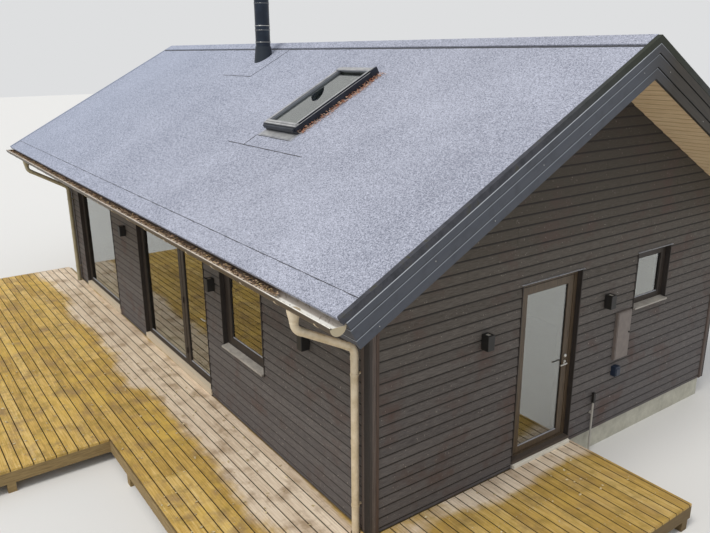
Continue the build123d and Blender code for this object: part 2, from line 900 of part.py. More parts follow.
with BuildPart() as downpipes:
    for outlet, wall_place in zip(outlet_places, pipe_places):
        with BuildLine() as route:
            Polyline(*pipe_route(outlet, wall_place))
        with BuildSketch(Plane(origin=(outlet, gutter_y, funnel_foot), z_dir=(0, 0, -1))):
            Circle(pipe_radius)
        sweep(path=route.wires()[0], transition=Transition.RIGHT)
        with BuildSketch(Plane(origin=(outlet, gutter_y, funnel_foot))):
            Circle(pipe_radius)
        with BuildSketch(Plane(origin=(outlet, gutter_y, funnel_foot + funnel_height))):
            Circle(funnel_radius)
        loft()
        with BuildSketch(Plane(origin=(outlet, gutter_y, funnel_foot + funnel_height))):
            Circle(funnel_radius)
        extrude(amount=funnel_collar)
        for height in clip_heights:
            with BuildSketch(Plane(origin=(wall_place, pipe_y, height - clip_height / 2))):
                Circle(clip_radius)
                with Locations((0, (pipe_stand_off + board_zone) / 2)):
                    Rectangle(clip_stem, pipe_stand_off + board_zone)
            extrude(amount=clip_height)
        with BuildSketch(Plane.YZ.offset(outlet - funnel_radius)):
            with Locations((gutter_y, gutter_rim_height)):
                Circle(gutter_radius + seat_clearance)
        extrude(amount=2 * funnel_radius, mode=Mode.SUBTRACT)
    mirror(about=Plane.XZ)
downpipes.part.label = "downpipes"
export_step(downpipes.part, "parts/downpipes.step")

# Flue: a twin-wall steel shaft with locking bands and a rain cap on three legs

with BuildPart() as flue:
    flue_foot = roof_height(flue_y, soffit_top) - flue_foot_drop
    flue_top = roof_height(flue_y, 0) + flue_rise
    with BuildSketch(Plane(origin=(flue_x, flue_y, flue_foot))):
        Circle(flue_radius)
    extrude(amount=flue_top - flue_foot)
    for drop in flue_band_drops:
        with BuildSketch(Plane(origin=(flue_x, flue_y, flue_top - drop))):
            Circle(flue_radius + flue_band_rise)
        extrude(amount=flue_band_height)
    with BuildSketch(Plane(origin=(flue_x, flue_y, flue_foot))):
        Circle(flue_bore)
    extrude(amount=flue_top - flue_foot, mode=Mode.SUBTRACT)
    with BuildSketch(Plane(origin=(flue_x, flue_y, flue_top))):
        with PolarLocations((flue_radius + flue_bore) / 2, 3):
            Rectangle(flue_leg_thickness, flue_leg_width)
    extrude(amount=flue_cap_gap)
    with BuildSketch(Plane(origin=(flue_x, flue_y, flue_top + flue_cap_gap))):
        Circle(flue_cap_radius)
    with BuildSketch(Plane(origin=(flue_x, flue_y, flue_top + flue_cap_gap + flue_cap_height))):
        Circle(flue_leg_width)
    loft()
flue.part.label = "flue"
export_step(flue.part, "parts/flue.step")

# Roof window: a raised frame with one pane, in a sheet-metal flashing

window_middle = -roof_window_top - roof_window_length / 2

with BuildPart() as roof_window_frame:
    with BuildSketch(front_slope.offset(roof_window_rise)):
        with Locations((roof_window_x, window_middle)):
            Rectangle(roof_window_width, roof_window_length)
            Rectangle(
                roof_window_width - 2 * roof_window_member,
                roof_window_length - 2 * roof_window_member,
                mode=Mode.SUBTRACT,
            )
    extrude(amount=-roof_window_rise - roof_window_depth)
roof_window_frame.part.label = "roof_window_frame"
export_step(roof_window_frame.part, "parts/roof_window_frame.step")

with BuildPart() as roof_window_glass:
    with BuildSketch(front_slope.offset(roof_window_rise - roof_window_glass_sink)):
        with Locations((roof_window_x, window_middle)):
            Rectangle(
                roof_window_width - 2 * roof_window_member, roof_window_length - 2 * roof_window_member
            )
    extrude(amount=-roof_window_glass_thickness)
roof_window_glass.part.label = "roof_window_glass"
export_step(roof_window_glass.part, "parts/roof_window_glass.step")

with BuildPart() as roof_flashings:
    with BuildSketch(front_slope):
        with Locations((roof_window_x, window_middle - (apron_foot - apron_side) / 2)):
            Rectangle(
                roof_window_width + 2 * apron_side, roof_window_length + apron_side + apron_foot
            )
        with Locations((roof_window_x, window_middle)):
            Rectangle(roof_window_width, roof_window_length, mode=Mode.SUBTRACT)
    extrude(amount=apron_thickness)
    skirt_top = roof_height(flue_y, 0) + flue_skirt_height
    skirt_foot = roof_height(flue_y, 0) - flue_skirt_height
    with BuildSketch(Plane(origin=(flue_x, flue_y, skirt_foot))):
        Circle(flue_skirt_foot + flue_skirt_foot - flue_skirt_top)
    with BuildSketch(Plane(origin=(flue_x, flue_y, skirt_top))):
        Circle(flue_skirt_top)
    loft()
    with BuildSketch(Plane(origin=(flue_x, flue_y, skirt_foot))):
        Circle(flue_radius + seat_clearance)
    extrude(amount=skirt_top - skirt_foot, mode=Mode.SUBTRACT)
    split(bisect_by=front_slope, keep=Keep.TOP)
roof_flashings.part.label = "roof_flashings"
export_step(roof_flashings.part, "parts/roof_flashings.step")

# Fittings on the walls

with BuildPart() as wall_lamps:
    for wall, places in ((front, front_lamp_places), (near_gable, gable_lamp_places)):
        lamp_spots = [(place, plinth_height + lamp_rise) for place in places]
        with BuildSketch(wall.offset(-board_zone)):
            with Locations(*lamp_spots):
                Rectangle(lamp_base_width, lamp_base_height)
        extrude(amount=board_zone)
        with BuildSketch(wall):
            with Locations(*lamp_spots):
                Rectangle(lamp_width, lamp_height)
        extrude(amount=lamp_depth)
wall_lamps.part.label = "wall_lamps"
export_step(wall_lamps.part, "parts/wall_lamps.step")

with BuildPart() as meter_cupboard:
    cupboard_foot = plinth_height + cupboard_rise
    with BuildSketch(near_gable.offset(-board_zone)):
        rectangle_at(cupboard_left, cupboard_foot, cupboard_width, cupboard_height)
    extrude(amount=board_zone + cupboard_depth)
    with BuildSketch(near_gable.offset(cupboard_depth)):
        rectangle_at(
            *inset((cupboard_left, cupboard_foot, cupboard_width, cupboard_height), cupboard_door_border)
        )
    extrude(amount=cupboard_door_thickness)
meter_cupboard.part.label = "meter_cupboard"
export_step(meter_cupboard.part, "parts/meter_cupboard.step")

with BuildPart() as outlet_box:
    outlet_spot = (outlet_place, plinth_height + outlet_rise)
    with BuildSketch(near_gable.offset(-board_zone)):
        with Locations(outlet_spot):
            Rectangle(outlet_width, outlet_height)
    extrude(amount=board_zone + outlet_depth)
    with BuildSketch(near_gable.offset(outlet_depth)):
        with Locations(outlet_spot):
            RectangleRounded(
                outlet_width - 2 * outlet_lid_border, outlet_height - 2 * outlet_lid_border, outlet_lid_border
            )
    extrude(amount=outlet_lid_thickness)
outlet_box.part.label = "outlet_box"
export_step(outlet_box.part, "parts/outlet_box.step")

with BuildPart() as cable_riser:
    riser_x = half_length + riser_stand_off
    with BuildSketch(Plane(origin=(riser_x, riser_place, 0))):
        Circle(riser_radius)
    extrude(amount=riser_top)
    with BuildSketch(Plane(origin=(riser_x, riser_place, riser_top))):
        Rectangle(riser_head_width, riser_head_width)
    extrude(amount=riser_head_height)
    with BuildSketch(Plane(origin=(core_x, riser_place, riser_clip_height), x_dir=(0, 1, 0), z_dir=(1, 0, 0))):
        Rectangle(riser_clip_size, riser_clip_size)
    extrude(amount=board_zone + riser_stand_off)
cable_riser.part.label = "cable_riser"
export_step(cable_riser.part, "parts/cable_riser.step")

# Deck: boards on joists and posts, bolted to the plinth, with a hole where each downpipe goes through

deck_inner = -half_width - deck_gap
deck_far = -half_length - deck_far_reach
deck_near = half_length + deck_near_reach
deck_strip_edge = -half_width - strip_depth
deck_wide_edge = -half_width - wide_depth
deck_corner = half_length + deck_gap


def deck_field(left, right, outer, inner):
    """A rectangle of the deck's plan."""
    rectangle_at(left, outer, right - left, inner - outer)


deck_fields = (
    (deck_far, wide_deck_start, deck_wide_edge, deck_inner),
    (wide_deck_start, deck_near, deck_strip_edge, deck_inner),
    (deck_corner, deck_near, deck_inner, gable_deck_end),
)

with BuildPart() as deck_boards:
    with BuildSketch(Plane.XY.offset(plinth_height)):
        for field in deck_fields:
            deck_field(*field)
        with Locations(*[(place, pipe_y) for place in pipe_places]):
            Circle(pipe_radius + pipe_hole_clearance, mode=Mode.SUBTRACT)
    extrude(amount=-deck_board)
deck_boards.part.label = "deck_boards"
export_step(deck_boards.part, "parts/deck_boards.step")

# Deck frame: a ledger bolted to the foundation, rims, and joists on hangers between them, all on posts

ledger_inner = -half_width + plinth_set_back
ledger_outer = ledger_inner - joist_width
gable_rim_left = half_length - plinth_set_back
joist_top = plinth_height - deck_board
joist_foot = joist_top - joist_depth


def joist_places(left, right):
    """Left edges of the joists across a field, at an even pitch from one end to the other."""
    gaps = max(1, round((right - left - joist_width) / joist_pitch))
    pitch = (right - left - joist_width) / gaps
    return [left + pitch * i for i in range(gaps + 1)]


def post_rows(outer, inner):
    """Outer edges of the rows of posts under a field, from its outer rim inwards."""
    rows = max(1, round((inner - outer - deck_post) / deck_post_row_pitch))
    pitch = (inner - outer - deck_post) / rows
    return [outer + pitch * i for i in range(rows + 1)]


# Each field: its joists' left edges, its outer edge and its inner edge
wide_field = (joist_places(deck_far, wide_deck_start), deck_wide_edge, ledger_outer)
strip_field = (joist_places(wide_deck_start, deck_near)[1:], deck_strip_edge, ledger_outer)
gable_field = (joist_places(gable_rim_left, deck_near), ledger_inner - joist_width, gable_deck_end - joist_width)

with BuildPart() as deck_frame:
    with BuildSketch(Plane.XY.offset(joist_foot)):
        rectangle_at(deck_far, ledger_outer, deck_near - deck_far, joist_width)
        rectangle_at(deck_far, deck_wide_edge, wide_deck_start - deck_far, joist_width)
        strip_rim_left = wide_deck_start + joist_hanger_gap
        rectangle_at(strip_rim_left, deck_strip_edge, deck_near - strip_rim_left, joist_width)
        rectangle_at(gable_rim_left, gable_deck_end - joist_width, deck_near - gable_rim_left, joist_width)
        for places, outer, inner in (wide_field, strip_field, gable_field):
            foot = outer + joist_width + joist_hanger_gap
            for place in places:
                rectangle_at(place, foot, joist_width, inner - joist_hanger_gap - foot)
    extrude(amount=joist_depth)
    with BuildSketch():
        for places, outer, inner in (wide_field, strip_field, gable_field):
            for place in places[::joists_per_post] + places[-1:]:
                for row in post_rows(outer, inner):
                    post_left = place + joist_width - deck_post if place == places[-1] else place
                    hung_on_ledger = post_left < half_length and row + deck_post > ledger_outer
                    if not hung_on_ledger:
                        rectangle_at(post_left, row, deck_post, deck_post)
    extrude(amount=joist_foot - joist_hanger_gap)
deck_frame.part.label = "deck_frame"
export_step(deck_frame.part, "parts/deck_frame.step")
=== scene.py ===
import bpy
import random
from math import ceil, cos, pi, radians, sin, tan
from mathutils import Matrix, Vector


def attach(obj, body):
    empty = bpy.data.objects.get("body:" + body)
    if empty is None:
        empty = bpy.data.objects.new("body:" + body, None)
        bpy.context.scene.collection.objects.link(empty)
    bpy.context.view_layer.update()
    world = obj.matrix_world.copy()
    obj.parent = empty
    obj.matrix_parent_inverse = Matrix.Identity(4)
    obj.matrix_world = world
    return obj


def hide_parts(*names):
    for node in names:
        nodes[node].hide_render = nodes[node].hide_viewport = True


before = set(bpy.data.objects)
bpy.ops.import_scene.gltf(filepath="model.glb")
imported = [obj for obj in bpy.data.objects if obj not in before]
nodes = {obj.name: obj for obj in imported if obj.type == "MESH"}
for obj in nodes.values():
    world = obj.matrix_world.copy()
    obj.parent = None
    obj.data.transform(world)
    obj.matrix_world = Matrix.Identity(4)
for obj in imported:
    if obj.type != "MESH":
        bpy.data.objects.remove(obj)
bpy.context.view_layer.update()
random.seed(21)

# Camera: high up off the corner of the gable deck, looking down the roof and along both walls.
# A slightly wide lens keeps the two walls and the whole roof slope in view.
camera = bpy.data.objects.new("camera", bpy.data.cameras.new("camera"))
bpy.context.scene.collection.objects.link(camera)
camera.data.lens = 35.53
camera.data.clip_end = 300
camera.matrix_world = (
    Matrix.Translation((9.770, -6.472, 4.855))
    @ Matrix.Rotation(radians(54.624), 4, "Z")
    @ Matrix.Rotation(radians(90 - 17.14), 4, "X")
    @ Matrix.Rotation(radians(-0.375), 4, "Z")
)
bpy.context.scene.camera = camera

# Walls: rough-sawn spruce featheredge boards under a dark stain, nailed with each foot over the head
# of the board below. Every foot throws a dark line, which a painted shadow deepens, and the stain has worn to
# pale flecks.
half_length = 5.120
half_width = 3.015
wall_foot = 0.290
board_exposure = 0.112
board_height = 0.125
first_lap = 0.341
foot_thickness = 0.0145
head_thickness = 0.0095
head_set_back = 0.0165
arris = 0.003
butt_gap = 0.0025
slope = radians(28.4)
eave_reach = half_width + 0.730
ridge_height = 2.940 + eave_reach * tan(slope)
soffit_depth = 0.320
corner_cover = 0.125
gable_corner_cover = 0.105


def linear(hex_colour):
    """An sRGB hex colour as the linear values that a shader takes."""
    parts = [int(hex_colour[i : i + 2], 16) / 255 for i in (1, 3, 5)]
    return [p / 12.92 if p <= 0.04045 else ((p + 0.055) / 1.055) ** 2.4 for p in parts] + [1]


def add_node(owner, kind, sockets=None, links=None, stops=None, **settings):
    """Adds one shader node with its settings, its socket values and its links, each a node, whose first output
    is meant, or a node and an output."""
    tree = owner.node_tree
    node = tree.nodes.new("ShaderNode" + kind)
    for name, value in settings.items():
        setattr(node, name, value)
    for name, value in (sockets or {}).items():
        node.inputs[name].default_value = linear(value) if isinstance(value, str) else value
    for name, link in (links or {}).items():
        source, output = link if isinstance(link, tuple) else (link, 0)
        tree.links.new(source.outputs[output], node.inputs[name])
    for i, (spot, colour) in enumerate(stops or []):
        stop = node.color_ramp.elements[i] if i < 2 else node.color_ramp.elements.new(spot)
        stop.position = spot
        stop.color = linear(colour)
    return node


def start_material(name, **finish):
    """A material with its shader, whose plain sockets are given by name, and a point's place on the object."""
    material = bpy.data.materials.new(name)
    material.use_nodes = True
    material.node_tree.nodes.clear()
    sockets = {key.replace("_", " "): value for key, value in finish.items()}
    add_node(material, "OutputMaterial", links={"Surface": add_node(material, "BsdfPrincipled", sockets)})
    add_node(material, "SeparateXYZ", links={0: (add_node(material, "TexCoord"), "Object")})
    return material


def on_object(material):
    """Where a point lies on the object."""
    return material.node_tree.nodes["Texture Coordinate"], "Object"


def on_axis(material, axis, both_sides=False):
    """Where a point lies along one axis of the object, or how far out it lies to either side."""
    spot = material.node_tree.nodes["Separate XYZ"], axis
    return add_node(material, "Math", links={0: spot}, operation="ABSOLUTE") if both_sides else spot


def feed(material, socket, source, output=0):
    """Leads a node's output to a socket of the shader."""
    tree = material.node_tree
    tree.links.new(source.outputs[output], tree.nodes["Principled BSDF"].inputs[socket])


def coloured(material, share, stops):
    """Colours a material by what another node's output says, from one stop to the next."""
    feed(material, "Base Color", add_node(material, "ValToRGB", links={"Fac": share}, stops=stops))


def where_all(material, share, *others):
    """How far a point lies in all of several shares at once."""
    for other in others:
        share = add_node(material, "Math", links={0: share, 1: other}, operation="MULTIPLY")
    return share


def overlay(material, colour, *shares):
    """Lays a colour over what a material has so far, where all of its shares meet."""
    share = where_all(material, *shares)
    base = material.node_tree.nodes["Principled BSDF"].inputs["Base Color"]
    mixed = add_node(material, "Mix", {6: [*base.default_value], 7: colour}, {0: share}, data_type="RGBA")
    if base.is_linked:
        material.node_tree.links.new(base.links[0].from_socket, mixed.inputs[6])
    feed(material, "Base Color", mixed, 2)


def relief(material, strength, distance):
    """Raises the surface by the height of the material's first noise."""
    height = (material.node_tree.nodes["Noise Texture"], "Fac")
    feed(material, "Normal", add_node(
        material, "Bump", {"Strength": strength, "Distance": distance}, {"Height": height}
    ))


def by_place(material, axis, start, full, most=1.0, least=0.0, both_sides=False):
    """How far a point has come from one place to another along an axis, as a share from least to most."""
    spot = on_axis(material, axis, both_sides)
    return add_node(material, "MapRange", {1: start, 2: full, 3: least, 4: most}, {0: spot})


def spots(material, scale, low, high, detail=2.0, grit=0.6, most=1.0):
    """How far a point lies inside the spots of a noise that has scale cycles in a metre."""
    noise = add_node(
        material, "TexNoise", {"Scale": scale, "Detail": detail, "Roughness": grit},
        {"Vector": on_object(material)},
    )
    return add_node(material, "MapRange", {1: low, 2: high, 4: most}, {0: (noise, "Fac")})


def wood_grain(material, grain, boards, start, tone):
    """Fibres drawn out along the boards, mixed with a shade of its own for each board. grain is the fibres'
    cycles per metre on each axis, boards is how many boards lie in a metre on each axis, counted from start,
    and tone is how far one board differs from the next."""
    drawn = add_node(material, "Mapping", {"Scale": grain}, {"Vector": on_object(material)})
    fibres = add_node(
        material, "TexNoise", {"Scale": 1.0, "Detail": 6.0, "Roughness": 0.65}, {"Vector": drawn}
    )
    counted = add_node(
        material, "Mapping", {"Scale": boards, "Location": start}, {"Vector": on_object(material)}
    )
    board = add_node(material, "VectorMath", links={0: counted}, operation="FLOOR")
    chance = add_node(material, "TexWhiteNoise", links={"Vector": board})
    return add_node(
        material, "Mix", {0: tone}, {2: (fibres, "Fac"), 3: (chance, "Value")}, data_type="FLOAT"
    )


def timber(name, dark, pale, grain, boards=(0, 0, 0), roughness=0.75):
    """Sawn or planed wood between a dark and a pale tone."""
    material = start_material(name, Roughness=roughness)
    toned = wood_grain(material, grain, boards, (0.5, 0.5, -first_lap * boards[2]), 0.12)
    coloured(material, toned, [(0.32, dark), (0.68, pale)])
    relief(material, 0.35, 0.0015)
    return material


def block(name, corner, far_corner):
    """A box between two opposite corners, as the start of a piece."""
    bpy.ops.object.select_all(action="DESELECT")
    bpy.ops.mesh.primitive_cube_add(size=1, location=[(a + b) / 2 for a, b in zip(corner, far_corner)])
    piece = bpy.context.object
    piece.name = name
    piece.scale = [abs(b - a) for a, b in zip(corner, far_corner)]
    bpy.ops.object.transform_apply(location=True, rotation=True, scale=True)
    return piece


def make_active(piece):
    """Leaves one piece selected and active."""
    bpy.ops.object.select_all(action="DESELECT")
    piece.select_set(True)
    bpy.context.view_layer.objects.active = piece


def edit(piece, part, test):
    """Opens a piece with the vertices, edges or faces selected whose middle passes a test."""
    make_active(piece)
    bpy.ops.object.mode_set(mode="EDIT")
    bpy.ops.mesh.select_mode(type=part)
    bpy.ops.mesh.select_all(action="DESELECT")
    bpy.ops.object.mode_set(mode="OBJECT")
    points = [vertex.co for vertex in piece.data.vertices]
    if part == "VERT":
        for vertex in piece.data.vertices:
            vertex.select = test(vertex.co)
    elif part == "EDGE":
        for edge in piece.data.edges:
            ends = [points[i] for i in edge.vertices]
            edge.select = test((ends[0] + ends[1]) / 2, (ends[1] - ends[0]).normalized())
    else:
        for face in piece.data.polygons:
            face.select = test(face.center, face.normal)
    bpy.ops.object.mode_set(mode="EDIT")


def close():
    """Ends an edit."""
    bpy.ops.object.mode_set(mode="OBJECT")


def shift(piece, move, test):
    """Moves the vertices that pass a test."""
    edit(piece, "VERT", test)
    bpy.ops.transform.translate(value=move)
    close()


def ease(piece, width, segments, test):
    """Bevels the edges that pass a test."""
    edit(piece, "EDGE", test)
    bpy.ops.mesh.bevel(offset=width, segments=segments)
    close()


def join(name, pieces):
    """Makes one piece of several."""
    bpy.ops.object.select_all(action="DESELECT")
    for piece in pieces:
        piece.select_set(True)
    bpy.context.view_layer.objects.active = pieces[0]
    bpy.ops.object.join()
    pieces[0].name = name
    return pieces[0]


def copied(piece, move):
    """A copy of a piece with its own mesh, moved by a matrix."""
    twin = piece.copy()
    twin.data = piece.data.copy()
    twin.data.transform(move)
    bpy.context.scene.collection.objects.link(twin)
    return twin


def cut_off(piece, point, normal, fill=True):
    """Takes away what lies beyond a plane, on the side its normal points to."""
    edit(piece, "FACE", lambda middle, out: True)
    bpy.ops.mesh.bisect(plane_co=point, plane_no=normal, use_fill=fill, clear_outer=True)
    close()


def place(piece, material, body="house", stands_for=()):
    """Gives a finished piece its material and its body."""
    piece.data.materials.clear()
    piece.data.materials.append(material)
    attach(piece, body)
    if stands_for:
        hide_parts(*stands_for)


def clad_wall(name, reach, distance, turn, gable, holes):
    """Courses of boards on a wall that faces -Y, stopped at its holes and then turned to its side."""
    face = -distance
    board = block("board", (0, face, 0), (1, face + foot_thickness, board_height))
    shift(board, (0, head_set_back, 0), lambda point: point.z > board_height / 2)
    shift(
        board, (0, head_thickness - foot_thickness, 0),
        lambda point: point.z > board_height / 2 and point.y > face + foot_thickness + 0.001,
    )
    ease(
        board, arris, 2,
        lambda spot, along: spot.z < 0.001 and spot.y < face + 0.001 and abs(along.x) > 0.9,
    )
    soffit_peak = ridge_height - soffit_depth / cos(slope)
    top = soffit_peak - (0 if gable else (distance - 0.03) * tan(slope))
    laid = []
    for course in range(ceil((top - first_lap) / board_exposure) + 1):
        low = first_lap + (course - 1) * board_exposure
        high = low + board_height
        half = min(reach, (soffit_peak - low) / tan(slope) + 0.02) if gable else reach
        spans = [(-half, half, low, high)]
        for left, right, sill, lintel in holes:
            if sill < high and lintel > low:
                kept = []
                for start, end, foot, head_edge in spans:
                    if start >= right or end <= left:
                        kept.append((start, end, foot, head_edge))
                        continue
                    kept += [(start, left, foot, head_edge), (right, end, foot, head_edge)]
                    if sill > low:
                        kept.append((left, right, foot, sill))
                    if lintel < high:
                        kept.append((left, right, lintel, head_edge))
                spans = [span for span in kept if span[1] - span[0] > 0.01]
        for start, end, foot, head_edge in spans:
            joints = [start, end]
            if end - start > 3.0:
                joints.insert(1, random.uniform(start + 0.8, end - 0.8))
            for first, last in zip(joints, joints[1:]):
                last -= butt_gap if last < end else 0
                stretch = Matrix.Diagonal((last - first, 1, 1, 1))
                length = copied(board, Matrix.Translation((first, 0, low)) @ stretch)
                if foot > low:
                    cut_off(length, (0, 0, foot), (0, 0, -1))
                if head_edge < high:
                    cut_off(length, (0, 0, head_edge), (0, 0, 1))
                laid.append(length)
    bpy.data.objects.remove(board)
    boards = join(name, laid)
    cut_off(boards, (0, 0, wall_foot), (0, 0, -1))
    for x, y in ((-sin(slope), 0), (sin(slope), 0)) if gable else ((0, -sin(slope)),):
        cut_off(boards, (0, 0, soffit_peak), (x, y, cos(slope)))
    boards.data.transform(Matrix.Rotation(turn, 4, "Z"))
    return boards


# Rough-sawn stained spruce: matt and grey-brown, greyer towards the foot of the wall, with painted shade
# that darkens it under the roof and under the peak, a painted shadow in a band just below the foot of each
# board, rusty patches and pale flecks. Its fibres are drawn 9 mm high.
stained_boards = timber(
    "stained_spruce_boards", "#433e3b", "#726c68", (9, 9, 110), (0, 0, 1 / board_exposure), 0.85
)
course_count = add_node(
    stained_boards, "Math", {1: 1 / board_exposure, 2: 10 - first_lap / board_exposure},
    {0: on_axis(stained_boards, "Z")}, operation="MULTIPLY_ADD",
)
up_the_board = add_node(stained_boards, "Math", links={0: course_count}, operation="FRACT")
# Overlays in order: painted shade under the roof, greyer towards the foot, rusty patches, pale flecks, a
# painted shadow line just below each board's foot, and painted shade under the peak.
for colour, share in (
    ("#443d2f", by_place(stained_boards, "Z", 1.3, 3.5, 0.75)),
    ("#4f4c50", by_place(stained_boards, "Z", 2.2, 0.5, 0.4)),
    ("#54433d", spots(stained_boards, 2.3, 0.52, 0.75, 4.0)),
    ("#9c938a", spots(stained_boards, 48, 0.68, 0.76)),
    ("#221e1b", add_node(stained_boards, "MapRange", {1: 0.76, 2: 0.88}, {0: up_the_board})),
    ("#241d1a", by_place(stained_boards, "Z", 2.8, 4.2, 0.62)),
):
    overlay(stained_boards, colour, share)

# Each wall: how far its boards reach to both sides, how far it stands out, its turn, whether it is a gable,
# and its holes as left, right, sill and head.
door_low = 0.2
window_low = 1.755
head = 2.492
small_hole = 0.352
wall_plan = (
    ("boards_front", half_length - corner_cover, half_width, 0, False, [
        (-4.544, -2.476, door_low, head), (-1.134, 1.456, door_low, head), (1.957, 3.056, 1.200, head)
    ]),
    ("boards_near_gable", half_width - gable_corner_cover, half_length, pi / 2, True, [
        (-1.012, -0.015, door_low, head), (1.042, 1.746, window_low, head)
    ]),
    ("boards_back", half_length - corner_cover, half_width, pi, False, [
        (middle - small_hole, middle + small_hole, window_low, head) for middle in (-3, 0, 3)
    ]),
    ("boards_far_gable", half_width - gable_corner_cover, half_length, -pi / 2, True, [
        (middle - small_hole, middle + small_hole, window_low, head) for middle in (-1.5, 1.5)
    ]),
)
for wall in wall_plan:
    place(clad_wall(*wall), stained_boards)

# Inside faces of the walls: planed pine lining, pale and lightly knotted, which shows through the glass.
# Its boards lie level, nailed across the studs, and each is 125 mm wide.


def paint(material, *names):
    """Gives CAD nodes their material."""
    for name in names:
        nodes[name].data.materials.clear()
        nodes[name].data.materials.append(material)


paint(
    timber("planed_pine_lining", "#c4ab86", "#e2cca8", (6, 6, 60), (0, 0, 8), 0.6),
    "front_wall_piers", "front_wall_near", "front_wall_header", "back_wall", "gable_wall_left",
    "gable_wall_right", "gable_wall_top", "far_gable_wall", "rafters_front", "rafters_back",
)

# Corner boards: two planed boards on each corner, nailed through the lapped boards' ends. The gable side
# has a narrow lath beside the board, in a darker stain. Next to each corner's edge both boards carry
# painted shade: near black on the long walls' faces and dark grey on the gables'.
corner_stain = timber("stained_corner_boards", "#443b36", "#6c605a", (90, 90, 4))
on_long_wall = by_place(corner_stain, "Y", half_width + 0.0015, half_width + 0.0025, both_sides=True)
on_gable_wall = by_place(corner_stain, "X", half_length + 0.0015, half_length + 0.0025, both_sides=True)
overlay(corner_stain, "#8d847b", spots(corner_stain, 40, 0.66, 0.74))
# Painted shade: near black on the long walls' faces next to the corner's edge.
overlay(
    corner_stain, "#1b1817", on_long_wall, by_place(corner_stain, "X", 5.035, 5.040, 0.9, both_sides=True)
)
# Painted shade: dark grey on the gables' faces next to the corner's edge.
overlay(
    corner_stain, "#2c2927", on_gable_wall, by_place(corner_stain, "Y", 2.980, 2.992, 0.75, both_sides=True)
)
paint(corner_stain, "corner_boards")
lath_stain = timber("stained_corner_lath", "#3c2f28", "#57463d", (90, 90, 4))
lath_width = 0.035
corner_side = 2.910
lath_top = 2.985


def modify(piece, kind, **settings):
    """Applies one modifier."""
    make_active(piece)
    modifier = piece.modifiers.new("step", kind)
    for name, value in settings.items():
        setattr(modifier, name, value)
    bpy.ops.object.modifier_apply(modifier="step")


laths = []
for side_x in (-1, 1):
    for side_y in (-1, 1):
        face = side_x * (half_length + 0.005)
        edge = side_y * corner_side
        lath = block(
            "lath", (face, edge, wall_foot), (face + side_x * 0.005, edge + side_y * lath_width, lath_top)
        )
        modify(lath, "BEVEL", width=0.002, segments=1)
        laths.append(lath)
place(join("corner_laths", laths), lath_stain)

# Reveals, sills and head flashings: planed boards line each hole, a grey weathered sill sheds the rain,
# and a thin strip of folded metal covers the head of each lining. A step of pale wood lies before each door.
# The reveal boards are near black: a painted shade inside each hole, over their stain.
paint(timber("stained_reveal_boards_painted_shade", "#1f1b19", "#38312d", (60, 60, 5)), "reveal_linings")

# Weathered grey pine, dry and faintly ribbed. Below 0.4 m it is the doors' steps: cream by the terrace, and
# under the gable door off-white with a dark rail on it.
sill_wood = timber("weathered_sill_boards", "#8e8983", "#b8b2a8", (8, 8, 60), roughness=0.85)
low_down = by_place(sill_wood, "Z", 0.41, 0.40)
gable_step = by_place(sill_wood, "X", 4.79, 4.80)
overlay(sill_wood, "#cbbda6", low_down, by_place(sill_wood, "X", 4.80, 4.79))
overlay(sill_wood, "#d2cdc3", low_down, gable_step, by_place(sill_wood, "Z", 0.332, 0.333))
overlay(sill_wood, "#4d433b", low_down, gable_step, by_place(sill_wood, "Z", 0.338, 0.339))
paint(sill_wood, "sills")
nose_depth = 0.038
nose_height = 0.045
step_nose = block(
    "door_step_nose", (half_length, -1.000, wall_foot + 0.001),
    (half_length + nose_depth, -0.027, wall_foot + nose_height),
)
ease(
    step_nose, 0.008, 3,
    lambda spot, along: abs(along.y) > 0.9 and spot.x > half_length + 0.03 and spot.z > wall_foot + 0.04,
)
place(step_nose, timber("pale_oiled_step_nose", "#cfc9bb", "#efeadd", (8, 5, 60), roughness=0.8))


def metal_sheet(name, colour, worn, roughness, metallic=0.0, grain=18.0):
    """Coated or bare sheet metal, with the soft blotches that rain and dust leave on it."""
    material = start_material(name, Base_Color=colour, Roughness=roughness, Metallic=metallic)
    overlay(material, worn, spots(material, grain, 0.42, 0.7, 5.0))
    relief(material, 0.08, 0.001)
    return material


# Mill-finish aluminium gone dull, which looks like pale grey with soft darker blotches.
flashing_sheet = metal_sheet("weathered_flashing_sheet", "#b0b1b6", "#93959b", 0.5, 0.3)
flashing_overlap = 0.02
drip_reach = 0.016
flashings = []
for _, _, distance, turn, _, holes in wall_plan:
    for left, right, _, high in holes:
        strip = block(
            "strip", (left - flashing_overlap, -distance - drip_reach, high),
            (right + flashing_overlap, -distance + 0.006, high + 0.004),
        )
        edit(strip, "FACE", lambda middle, out: out.z < -0.9)
        bpy.ops.mesh.inset(thickness=0.0012)
        close()
        shift(strip, (0, 0, -0.003), lambda point: point.y < -distance - drip_reach + 0.001)
        modify(strip, "BEVEL", width=0.001, segments=1)
        strip.data.transform(Matrix.Rotation(turn, 4, "Z"))
        flashings.append(strip)
place(join("head_flashings", flashings), flashing_sheet)

# Joinery: frames and sashes of pine under a brown stain. The gable door's stain has faded to a warm brown. The
# window frames and the terrace door get a darker copy of it, close to black, as painted shade.
joinery_stain = timber("stained_pine_joinery", "#3d3227", "#62523f", (50, 50, 6), roughness=0.5)
# A darker copy of the joinery stain, close to black: painted shade.
painted_shade_joinery = timber("window_joinery_painted_shade", "#1f1915", "#3b3129", (50, 50, 6), roughness=0.6)
paint(painted_shade_joinery, "window_frames", "terrace_frame", "terrace_door_leaf")
paint(joinery_stain, "gable_door_frame", "gable_door_leaf")

